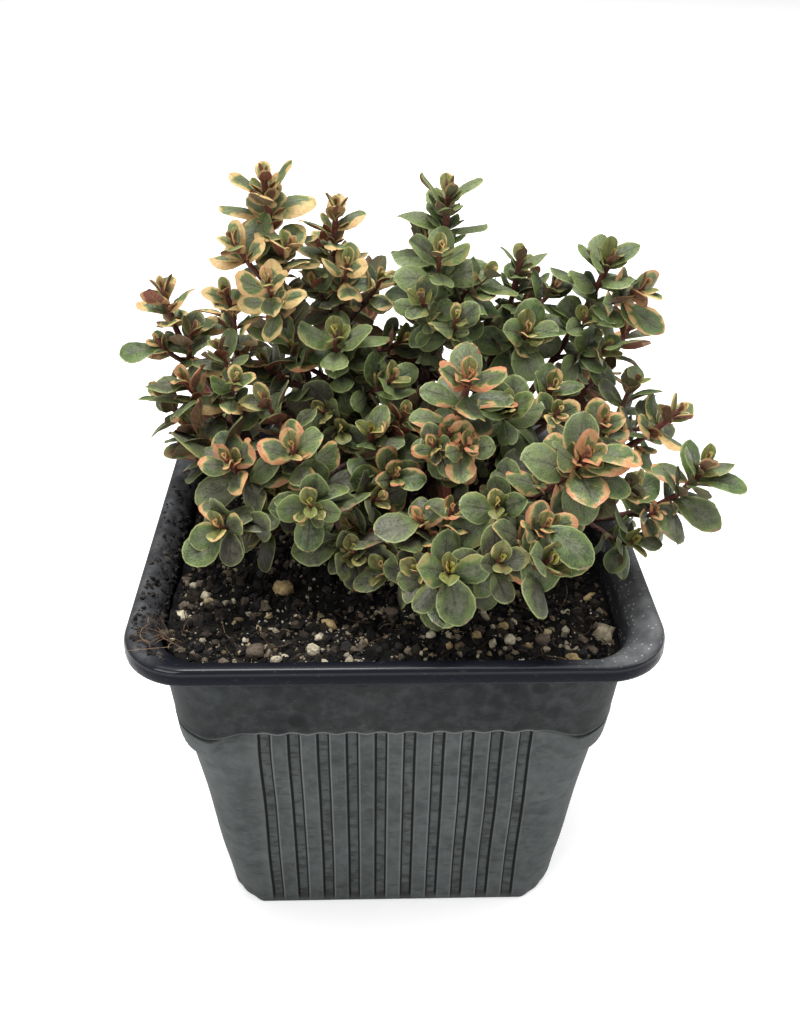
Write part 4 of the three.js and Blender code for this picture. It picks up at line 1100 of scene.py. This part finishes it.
# Cubic curve of a shoot with its length measured in many short steps.
class Curve:
    def __init__(self, *controls):
        self.controls = np.array(controls, dtype=float)
        self.steps = np.linspace(0, 1, habit["divisions"] + 1)
        path = self.at(self.steps)
        self.lengths = np.concatenate([[0], np.cumsum(np.linalg.norm(np.diff(path, axis=0), axis=1))])
        self.length = self.lengths[-1]

    def at(self, t):
        t = np.asarray(t, dtype=float)[..., None]
        a, b, c, d = self.controls
        return (1 - t) ** 3 * a + 3 * (1 - t) ** 2 * t * b + 3 * (1 - t) * t ** 2 * c + t ** 3 * d

    def way(self, t):
        t = np.asarray(t, dtype=float)[..., None]
        a, b, c, d = self.controls
        return unit((1 - t) ** 2 * (b - a) + 2 * (1 - t) * t * (c - b) + t ** 2 * (d - c))

    def step(self, reach):
        return np.interp(reach, self.lengths, self.steps)


# A side shoot leaves its main stem between the stem's own direction and that of its tip.
def growShoot(main, foot, row):
    start, *tip, azimuth, tilt, pairs, length, turn, gap, colouring = row
    tip = np.array(tip, dtype=float)
    base = main["curve"].at(start) if main else foot
    if main:
        away = unit(main["curve"].way(start) + unit(tip - base))
    else:
        away = unit(np.array([tip[0] * habit["lean"], tip[1] * habit["lean"], habit["climb"]]))
    reach = np.linalg.norm(tip - base)
    before = tip - pointing(azimuth, tilt) * reach * habit["last"]
    curve = Curve(base, base + away * reach * habit["first"], before, tip)
    tufted = 1.0 if tilt < tuftShape["upright"] else tuftShape["share"]
    return {
        "curve": curve, "isMain": main is None, "pairs": pairs, "leaf": length, "gap": gap, "tufted": tufted,
        "facing": squareTo(curve.way(1), pointing(turn, 90)), "seed": placeSeed(tip),
        "colouring": colourings[colouring],
    }


# Length share, opening and curl of a pair by its number from the tip: leaves grow longer, open wider, and
# curl up near the tip and down further on.
def pairForm(pair):
    if pair < len(heart):
        return heart[pair]
    rule = growth
    size = 1 - rule["lack"] * math.exp(-pair / rule["fade"])
    size *= 1 - rule["ageing"] * max(0, pair - rule["agedFrom"])
    widest = rule["widest"] * (1 - math.exp(-(pair + rule["ahead"]) / rule["opening"]))
    curl = rule["curl"] * (math.exp(-pair / rule["curlUp"]) - 1 + math.exp(-pair / rule["curlDown"]))
    return size, widest, curl


# The two small leaves of a tuft in the axil of a grown leaf.
def tuftOf(place, pair):
    rule = tuftShape
    axis, across, turn = place["axis"], place["across"], place["turn"]
    out = across * math.cos(turn) + np.cross(axis, across) * math.sin(turn)
    leaves = []
    for hand in (-1, 1):
        small = rule["length"] * (1 + rule["spread"] * (draw(place["seed"], 5, hand + 2) * 2 - 1))
        open = rule["open"] + rule["opening"] * (pair - 2)
        open += rule["openSpread"] * draw(place["seed"], 6, hand + 2)
        leaves.append(place | {
            "spot": place["spot"] + out * rule["out"] + axis * rule["up"], "length": place["length"] * small,
            "turn": turn + math.radians(rule["splay"]) * hand, "open": math.radians(open), "tuft": True,
            "curl": rule["curl"], "roll": place["roll"] * hand, "youth": math.exp(-pair / rule["youth"]),
            "seed": place["seed"] + hand * 0.37,
        })
    return leaves


# The leaves of one shoot, pair by pair from the tip down, each pair turned a quarter from the last, and the
# ways along the shoot where they stand. A grown leaf may have a tuft.
def leafPlaces(shoot):
    curve, rule = shoot["curve"], growth
    places, knots = [], []
    down = rule["start"]
    for pair in range(shoot["pairs"]):
        if pair:
            down += min(rule["stretch"] + rule["growth"] * pair, shoot["gap"])
        reach = curve.length - down
        step = curve.step(max(reach, 0))
        spot, axis = curve.at(step), curve.way(step)
        if reach < rule["lowestReach"] or spot[2] < rule["lowestHeight"]:
            break
        size, widest, curl = pairForm(pair)
        knots.append(reach)
        for side in (0, 1):
            spread = lambda key, column: rule[key] * (draw(shoot["seed"], pair, side + column) - 0.5)
            place = {
                "spot": spot, "axis": axis, "across": squareTo(axis, shoot["facing"]),
                "turn": math.radians(90 * pair + 180 * side + spread("jitterTurn", 0)),
                "open": math.radians(widest + spread("jitterOpen", 5)), "curl": curl,
                "length": shoot["leaf"] * size * (1 + spread("jitterLength", 9)),
                "roll": math.radians(spread("jitterRoll", 13)), "youth": math.exp(-pair / rule["youth"]),
                "seed": shoot["seed"] + pair * 3.1 + side, "colouring": shoot["colouring"],
                "tuft": False, "broad": 0,
            }
            places.append(place)
            if pair >= tuftShape["fromPair"] and draw(place["seed"], 7, 1) <= shoot["tufted"]:
                places += tuftOf(place, pair)
    return places, knots


# Share of a blade's half width at a share of its length: narrow at the neck, widest past the middle,
# rounded end.
def halfWidth(along):
    open = np.clip((along - 0.05) / 0.95, 0, 1)
    oval = open ** 0.8 * (1 - open) ** 0.58 / 0.3925
    return np.maximum(oval, bladeShape["neck"] * (1 - along) ** 0.5)


# Net of one blade: its foot, its end, and rows of five columns over the upper face, with the three inner
# columns again below. Rows bend forward to the margin. Every point has its share along and across, column
# and station.
def bladeNet(stations):
    stations, columns = np.array(stations), np.linspace(-1, 1, 5)
    margin = (1 - np.cos(math.pi * stations)) / 2
    along = stations[:, None] + (margin - stations)[:, None] * np.abs(columns) ** 1.5
    grid = np.broadcast_arrays(along, halfWidth(margin)[:, None] * columns, columns, stations[:, None])
    upper = np.stack(grid, axis=-1)
    lower = upper[:, 1:4]
    net = np.concatenate([[[0, 0, 0, 0], [1, 0, 0, 1.0]], upper.reshape(-1, 4), lower.reshape(-1, 4)])
    face = np.concatenate([[0, 0], np.ones(upper.size // 4), -np.ones(lower.size // 4)])
    outline = np.linspace(0.02, 1, 200)
    edge = np.stack([outline, halfWidth(outline) * bladeShape["aspect"] / 2], axis=1)
    place = np.stack([net[:, 0], np.abs(net[:, 1]) * bladeShape["aspect"] / 2], axis=1)
    inward = np.linalg.norm(place[:, None] - edge[None], axis=2).min(axis=1) / (bladeShape["aspect"] / 2)
    top = 2 + np.arange(along.size).reshape(along.shape)
    bottom = top.copy()
    bottom[:, 1:4] = 2 + along.size + np.arange(len(stations) * 3).reshape(-1, 3)
    quads, triangles = [], []
    for sheet, order in ((top, 1), (bottom, -1)):
        cells = np.stack([sheet[:-1, :-1], sheet[1:, :-1], sheet[1:, 1:], sheet[:-1, 1:]], axis=-1)
        foot = np.stack([np.zeros(4, int), sheet[0, :-1], sheet[0, 1:]], axis=1)
        end = np.stack([sheet[-1, :-1], np.ones(4, int), sheet[-1, 1:]], axis=1)
        quads.append(cells.reshape(-1, 4)[:, ::order])
        triangles.append(np.concatenate([foot, end])[:, ::order])
    onMargin = (np.abs(np.abs(net[:, 2]) - 1) < 1e-6) | (face == 0)
    return net, face, inward, quads + triangles, onMargin


bladeNets = {False: bladeNet(bladeShape["stations"]), True: bladeNet(bladeShape["tuftStations"])}


# All blades of a spray that are tufts, or that aren't. In a blade's own frame X runs to its end, Y across
# and Z out of the upper face: the height is a fold and a puff of each half, a valley at the midrib, waves
# at the margin, a curl with the square of the way along, a twist and a bow. Attributes: warmth, youth,
# paleness and margin width as the tone, then how grey the green and how red the underside is; the greyness
# and paleness also carry painted shade, greyer and less pale low down, and painted light, paler high up.
def blades(places, tuft):
    net, face, inward, patches, onMargin = bladeNets[tuft]
    places = [place for place in places if place["tuft"] == tuft]
    shape = bladeShape
    column = lambda key: np.array([place[key] for place in places], dtype=float)
    spot, axis, across, youth = [column(key) for key in ("spot", "axis", "across", "youth")]
    turn, open, length, curl, roll, broad = [
        column(key)[:, None] for key in ("turn", "open", "length", "curl", "roll", "broad")]
    chance = np.random.default_rng((np.abs(column("seed")) * 1000).astype(np.int64).sum() % 2 ** 31)
    draws = chance.uniform(-1, 1, (len(places), 6)).T[:, :, None]
    out = across * np.cos(turn) + np.cross(axis, across) * np.sin(turn)
    x = axis * np.cos(open) + out * np.sin(open)
    y = unit(np.cross(axis, out))
    z = np.cross(x, y)
    y, z = y * np.cos(roll) + z * np.sin(roll), z * np.cos(roll) - y * np.sin(roll)

    along, wide, sideways, station = net.T[:, None, :]
    half = length * (shape["aspect"] + broad + shape["aspectSpread"] * draws[0]) / 2
    arch, flat = np.sin(math.pi * station), 1 - sideways ** 2
    fold = shape["fold"] * (shape["foldYoung"] * youth[:, None] - shape["foldGrown"])
    fold = fold + shape["foldSpread"] * draws[1]
    valley = shape["valley"] * (np.abs(sideways) < 0.1) * arch
    height = half * np.clip(station * 4, 0, 1) * (fold * np.abs(wide) + shape["puff"] * flat * arch - valley)
    phase = draws[2] * 3 + np.sign(sideways) * draws[3] * 2
    height = height + half * shape["wave"] * sideways ** 2 * np.sin(shape["waviness"] * station + phase)
    height = height + curl * length * along ** 2 + shape["twist"] * draws[4] * half * wide * along
    height = height + half * shape["bow"] * draws[5] * arch
    thick = shape["thickness"] * flat * np.sin(math.pi * np.clip(station * 0.86 + 0.07, 0, 1))
    height = height + face[None] * np.clip(thick, shape["thinnest"], None) / 2
    local = zip([length * along, half * wide, height], (x, y, z))
    points = spot[:, None] + sum(value[..., None] * way[:, None] for value, way in local)

    count, perBlade = points.shape[:2]
    shift = (np.arange(count) * perBlade)[:, None, None]
    warmth, width, steady, ageing, grey, blush = np.array([place["colouring"] for place in places]).T
    width = width * (steady + (1 - steady) * youth ** ageing)
    pale = chance.random(count)
    warmth = np.clip(warmth + tones["warmSpread"] * chance.standard_normal(count), 0, 1)
    width = width * (1 + tones["widthSpread"] * chance.standard_normal(count))
    width = np.clip(width, 0, tones["widestMargin"])
    # Painted shade and light: greyer and less pale lower down, paler higher up, by the leaf's height alone.
    low, high = smoothStep(*tones["low"], spot[:, 2]), smoothStep(*tones["high"], spot[:, 2])
    grey = np.clip(grey + tones["greyInLowShade"] * low + tones["greySpread"] * chance.standard_normal(count), 0, 1)
    pale = np.clip(pale * (1 - tones["paleLostInLowShade"] * low) + tones["paleAddedInHighLight"] * high, 0, 1)
    redder = tones["blushYoung"] * youth + tones["blushSpread"] * chance.standard_normal(count)
    return {
        "points": points.reshape(-1, 3), "materials": [0, 1, 0, 1],
        "faces": [(patch[None] + shift).reshape(-1, patch.shape[1]) for patch in patches],
        "tone": np.repeat(np.stack([warmth, youth, pale, width], axis=1), perBlade, axis=0),
        "grey": np.repeat(grey, perBlade), "blush": np.repeat(np.clip(blush + redder, 0, 1), perBlade),
        "uv": np.tile(np.stack([net[:, 2] / 2 + 0.5, net[:, 3]], axis=1), (count, 1)),
        "inward": np.tile(inward, count), "margin": np.tile(onMargin, count),
    }


# A leaf set one by one: from a place on a shoot to its own tip, its upper face turned up and, the more it
# hangs, to the front.
def placedBlade(shoots, row):
    number, share, *tip, colouring = row
    foot = shoots[number]["curve"].at(share)
    length = np.linalg.norm(tip - foot)
    course = (tip - foot) / length
    seed = placeSeed(tip)
    facing = np.array([0, -placedHabit["forward"] * max(0, -course[2]), placedHabit["up"]])
    return {
        "spot": foot, "axis": squareTo(course, facing), "across": course, "turn": 0, "open": math.pi / 2,
        "length": length, "curl": placedHabit["curl"], "broad": placedHabit["broad"], "tuft": False,
        "roll": math.radians(placedHabit["roll"]) * (draw(seed, 1, 0) - 0.5), "seed": seed,
        "youth": placedHabit["youth"], "colouring": colourings[colouring],
    }


# A square stem with blunt edges carried along its curve, thicker at each pair of leaves, pointed at its tip.
def stemTube(shoot, knots):
    shape, curve = stemShape, shoot["curve"]
    kind = "main" if shoot["isMain"] else "side"
    reaches = np.linspace(0, curve.length, max(5, int(curve.length / shape["step"])))
    steps = curve.step(reaches)
    centre, way = curve.at(steps), curve.way(steps)
    if shoot["isMain"]:
        centre = np.concatenate([[centre[0] - [0, 0, shape["sunk"]]], centre])
        way = np.concatenate([[[0, 0, 1.0]], way])
        reaches = np.concatenate([[0], reaches])
    across = squareTo(way, shoot["facing"])[:, None]
    beside = np.cross(way[:, None], across)
    half = shape[kind + "Foot"] + (shape[kind + "Tip"] - shape[kind + "Foot"]) * reaches / curve.length
    near = np.abs(reaches[:, None] - np.array(knots or [-99])[None]).min(axis=1)
    half = half * (1 + shape["knot"] * np.exp(-(near / shape["knotLength"]) ** 2))
    section = np.array(shape["section"])[None]
    sides = section.shape[1]
    rings = centre[:, None] + half[:, None, None] * (section[:, :, :1] * across + section[:, :, 1:] * beside)
    points = np.concatenate([rings.reshape(-1, 3), [centre[0], centre[-1] + way[-1] * shape["point"]]])
    first = np.arange(sides)
    last = first + (len(rings) - 1) * sides
    ends = np.concatenate([fan(first, len(points) - 2)[:, ::-1], fan(last, len(points) - 1)])
    height = np.concatenate([np.repeat(reaches / curve.length, sides), [0, 1]])
    none = np.zeros(len(points))
    return {
        "points": points, "faces": [gridQuads(len(rings), sides, closed=True), ends], "materials": [2, 2],
        "tone": np.stack([height, none, none + 0.5, none], axis=1), "grey": none, "blush": none + 1,
        "uv": np.full((len(points), 2), 0.5), "inward": none + 1, "margin": none > 0,
    }


# Rows of short leafy shoots low on the main stem, in the shade of the others, by draws seeded for each spray.
def shadeRows(main, order):
    rule = shadeShoots
    chance = np.random.default_rng(rule["seed"] + order)
    rows = []
    for number in range(rule["perSpray"]):
        start, azimuth = chance.uniform(*rule["starts"]), chance.uniform(0, 360)
        reach, lift = chance.uniform(*rule["reach"]), chance.uniform(*rule["lift"])
        away = [math.cos(math.radians(azimuth)) * reach, math.sin(math.radians(azimuth)) * reach, lift]
        tip = main["curve"].at(start) + away
        leaf, turn = rule["leaf"] * chance.uniform(*rule["leafSpread"]), chance.uniform(0, 90)
        if np.hypot(tip[0], tip[1]) <= rule["farthest"] and tip[2] >= rule["lowest"]:
            tip = np.round(tip, 2)
            rows.append((start, *tip, azimuth, rule["tilt"], rule["pairs"], leaf, turn, rule["gap"], "grey"))
    return rows


# One spray: its leaves, tufts and stems joined into a single piece.
def buildSpray(name, order, spray):
    x, y = spray["hole"]
    foot = np.array([x, y, soilTop(x, y) + habit["rise"]])
    main = growShoot(None, foot, spray["shoots"][0])
    shoots = [main] + [growShoot(main, foot, row) for row in spray["shoots"][1:] + shadeRows(main, order)]
    places, tubes = [], []
    for shoot in shoots:
        own, knots = leafPlaces(shoot)
        places += own
        tubes.append(stemTube(shoot, knots))
    places += [placedBlade(shoots, row) for row in placedLeaves.get(name, [])]
    parts = [blades(places, False), blades(places, True), *tubes]
    keys = ("points", "tone", "grey", "blush", "inward", "uv", "margin")
    whole = {key: np.concatenate([part[key] for part in parts]) for key in keys}
    faces, kinds, start = [], [], 0
    for part in parts:
        faces += [patch + start for patch in part["faces"]]
        kinds += [np.full(len(patch), kind) for patch, kind in zip(part["faces"], part["materials"])]
        start += len(part["points"])
    piece = newMesh(name + "Spray", whole["points"], faces, foliage, np.concatenate(kinds))
    for key in ("tone", "grey", "blush", "inward"):
        give(piece, key, whole[key])
    giveUv(piece, "blade", whole["uv"])
    sharpenBetween(piece, whole["margin"])
    settle(piece, "foliage", "spray_" + name)
    return len(places)


leafLook = {
    "green": rgba(0.079, 0.124, 0.03), "greenDeep": rgba(0.028, 0.05, 0.014),
    "pale": rgba(0.175, 0.215, 0.09), "mauve": rgba(0.12, 0.105, 0.092),
    "grey": rgba(0.086, 0.084, 0.052), "greyDeep": rgba(0.034, 0.03, 0.023),
    "midrib": rgba(0.18, 0.23, 0.09), "pit": rgba(0.018, 0.026, 0.01), "young": rgba(0.34, 0.33, 0.045),
    "youngWarm": rgba(0.42, 0.13, 0.03), "cream": rgba(0.57, 0.43, 0.19), "orange": rgba(0.46, 0.165, 0.095),
    "gold": rgba(0.42, 0.27, 0.06), "halo": rgba(0.12, 0.17, 0.045), "hem": rgba(0.3, 0.33, 0.13),
    "back": rgba(0.135, 0.135, 0.075), "backWarm": rgba(0.2, 0.045, 0.03),
    "backPatch": rgba(0.17, 0.11, 0.06),
    "stem": rgba(0.045, 0.014, 0.012), "stemYoung": rgba(0.13, 0.03, 0.02),
    "stemGrain": rgba(0.12, 0.07, 0.05),
}


# Masks of a blade from its own map and attributes. Depth from the margin is made uneven by noise; the
# margin, its halo and its warm core are bands of that depth. Veins run forward from the midrib.
def bladeMasks(tree, given):
    place = objectPlace(tree)
    warmth, youth, chance = attributeOf(tree, "tone", "Color").split("Color")
    width, inward = attributeOf(tree, "tone", "Alpha"), attributeOf(tree, "inward")
    u, v, _ = newValue(tree, "ShaderNodeUVMap", {}, uv_map="blade").split("XYZ")
    broad, fine = noiseOf(place, 260, 1), noiseOf(place, 1150, 3)
    depth = inward + (broad * 1.9 + fine * 0.35 - 1.06)
    core = depth.ramp(width - 0.3, width + 0.02, 1.0, 0.0)
    fromRib = abs(u - 0.5)
    ridge = abs((v * 7.0 - fromRib * 5.0).math("FRACT") - 0.5)
    return {
        "Margin": depth.ramp(width - 0.14, width + 0.12, 1.0, 0.0) * width.ramp(0.03, 0.14),
        "Halo": depth.ramp(width - 0.05, width + 0.5, 1.0, 0.0), "Hem": inward.ramp(0.02, 0.11, 1.0, 0.0),
        # The pale tint here is partly random, partly painted light high up and painted shade low down.
        "Middle": (inward + fine * 0.5).ramp(0.6, 1.05), "Youth": youth, "PaleByChanceAndLight": chance,
        "Warmth": warmth * (core * 0.65 + 0.35), "Grey": attributeOf(tree, "grey"),
        "Blush": attributeOf(tree, "blush"), "Midrib": fromRib.ramp(0.0, 0.07, 1.0, 0.0) * v.ramp(0.98, 0.6),
        "Veins": ridge.ramp(0.0, 0.16, 1.0, 0.0) * fromRib.ramp(0.46, 0.3),
        "Pits": specksOf(place, 3300, 0.36, 0.75), "Clouds": mottleOf(place, 700, 0.32, 0.68, 4.0),
    }


bladePattern = newGroup("bladePattern", {}, bladeMasks)


# Upper face: green to grey-green, mottled and finely pitted, with pale veins, painted shade along the midrib
# groove and a cream to orange margin; the youngest leaves are yellow or orange-red.
def leafFaceFinish(tree):
    look, mask = leafLook, useGroup(tree, bladePattern, {})
    clouds = mask["Clouds"]
    green, grey = [blend(clouds, look[key + "Deep"], look[key]) for key in ("green", "grey")]
    young = blend(mask["Warmth"], look["young"], look["youngWarm"])
    edge = blend(clouds * 0.35, blend(mask["Warmth"], look["cream"], look["orange"]), look["gold"])
    # The grey green and the pale tint carry painted shade and light by the leaf's height.
    colour = layered(blend(mask["Grey"], green, grey), [
        (mask["PaleByChanceAndLight"] ** 2.0 * 0.6, look["pale"]), (mask["Middle"] * (clouds * 0.5 + 0.1), look["mauve"]),
        # Painted shade: the midrib groove darkened with the deep green; the veins beside it pale.
        (mask["Veins"] * 0.12, look["midrib"]), (mask["Midrib"] * 0.25, look["greenDeep"]),
        (mask["Pits"] * 0.5, look["pit"]), (mask["Youth"].ramp(0.3, 1.0, 0.0, 0.8), young),
        (mask["Halo"] * 0.55, look["halo"]), (mask["Hem"] * 0.6, look["hem"]), (mask["Margin"] * 0.92, edge),
    ])
    height = clouds * 0.3 - mask["Pits"] * 0.7 - mask["Veins"] * 0.25 - mask["Midrib"] * 0.6
    return {
        "Base Color": colour, "Roughness": clouds * 0.12 + 0.43, "Specular IOR Level": 0.34,
        "Normal": bumpOf(height, 0.00016),
    }


# Underside: dull green to maroon towards the tips, with raised veins and a fainter margin.
def leafBackFinish(tree):
    look, mask = leafLook, useGroup(tree, bladePattern, {})
    colour = layered(blend(mask["Blush"] * 0.9, look["back"], look["backWarm"]), [
        (mask["Clouds"] * 0.3, look["backPatch"]),
        (mask["Margin"] * 0.7, blend(mask["Warmth"], look["cream"], look["orange"])),
        (mask["Midrib"] * 0.4, look["midrib"]),
    ])
    bump = bumpOf(mask["Midrib"] + mask["Veins"] * 0.6, 0.0002)
    return {"Base Color": colour, "Roughness": 0.65, "Specular IOR Level": 0.25, "Normal": bump}


# Stem: dark maroon, redder towards the tip, with a fine grain.
def stemFinish(tree):
    look = leafLook
    height = attributeOf(tree, "tone", "Color").split("Color")[0]
    grain = mottleOf(objectPlace(tree), 1500, 0.35, 0.7, 4.0)
    colour = blend(height.ramp(0.4, 1.0), look["stem"], look["stemYoung"])
    colour = blend(grain * 0.4, colour, look["stemGrain"])
    bump = bumpOf(grain, 0.0002)
    return {"Base Color": colour, "Roughness": 0.55, "Specular IOR Level": 0.35, "Normal": bump}


finishes = {"leafFace": leafFaceFinish, "leafBack": leafBackFinish, "stemSkin": stemFinish}
foliage = [newMaterial(name, finish) for name, finish in finishes.items()]
leafCount = sum(buildSpray(name, order, spray) for order, (name, spray) in enumerate(sprays.items()))
print("sprays:", len(sprays), "with", leafCount, "leaves")


view = {
    "place": (-5.10, -181.31, 181.34), "pitch": 0.543, "yaw": 0.037, "roll": 0.014, "sensor": 36,
    "focal": 1107.16, "tall": 1024, "clip": (0.005, 20),  # focal length and picture height in pixels
}


# The camera's axes: forward from yaw and pitch, right level and up square to both, then rolled.
def addCamera():
    pitch, yaw, roll = view["pitch"], view["yaw"], view["roll"]
    forward = np.array([math.sin(yaw) * math.cos(pitch), math.cos(yaw) * math.cos(pitch), -math.sin(pitch)])
    right = np.array([math.cos(yaw), -math.sin(yaw), 0])
    up = np.cross(right, forward)
    axes = np.eye(4)
    axes[:3, 0] = math.cos(roll) * right + math.sin(roll) * up
    axes[:3, 1] = math.cos(roll) * up - math.sin(roll) * right
    axes[:3, 2] = -forward
    axes[:3, 3] = np.array(view["place"]) * mm
    data = bpy.data.cameras.new("photoCamera")
    data.sensor_width = view["sensor"]
    data.lens = view["focal"] * view["sensor"] / view["tall"]
    data.clip_start, data.clip_end = view["clip"]
    camera = bpy.data.objects.new("photoCamera", data)
    camera.matrix_world = Matrix(axes.tolist())
    bpy.context.scene.collection.objects.link(camera)
    bpy.context.scene.camera = camera


studio = {
    "softBoxes": [  # name, place, size, watts
        ("overhead", (0.1, 0.15, 1.15), 1.3, 15), ("key", (-0.12, 0.05, 1.1), 0.36, 9),
        ("frontLeft", (-0.75, -0.8, 0.75), 0.7, 7.5), ("right", (0.95, -0.15, 0.6), 0.6, 2.8),
    ],
    "aim": (0, 0, 0.07), "sky": 0.42, "floorSize": 8, "floorGlow": 0.32, "floorGrey": 0.9,
}


def addSoftBox(name, place, size, watts):
    data = bpy.data.lights.new(name, "AREA")
    data.shape, data.size, data.energy = "SQUARE", size, watts
    light = bpy.data.objects.new(name, data)
    light.location = place
    light.rotation_euler = (Vector(studio["aim"]) - Vector(place)).to_track_quat("-Z", "Y").to_euler()
    bpy.context.scene.collection.objects.link(light)


def floorFinish(tree):
    return {
        "Base Color": rgba(*[studio["floorGrey"]] * 3), "Roughness": 0.9, "Emission Color": rgba(1, 1, 1),
        "Emission Strength": studio["floorGlow"],
    }


def addFloor():
    reach = studio["floorSize"] / 2 / mm
    points = np.array([(-1, -1, 0), (1, -1, 0), (1, 1, 0), (-1, 1, 0)]) * reach
    floor = newMaterial("paleFloor", floorFinish)
    newMesh("floor", points, [np.array([[0, 1, 2, 3]])], [floor], smooth=False)


addCamera()
for box in studio["softBoxes"]:
    addSoftBox(*box)
addFloor()
world = bpy.data.worlds.new("softSky")
world.use_nodes = True
connect(world.node_tree.nodes["Background"], {"Color": rgba(1, 1, 1), "Strength": studio["sky"]})
bpy.context.scene.world = world
bpy.context.scene.view_settings.view_transform = "Standard"
print("camera, light and floor")
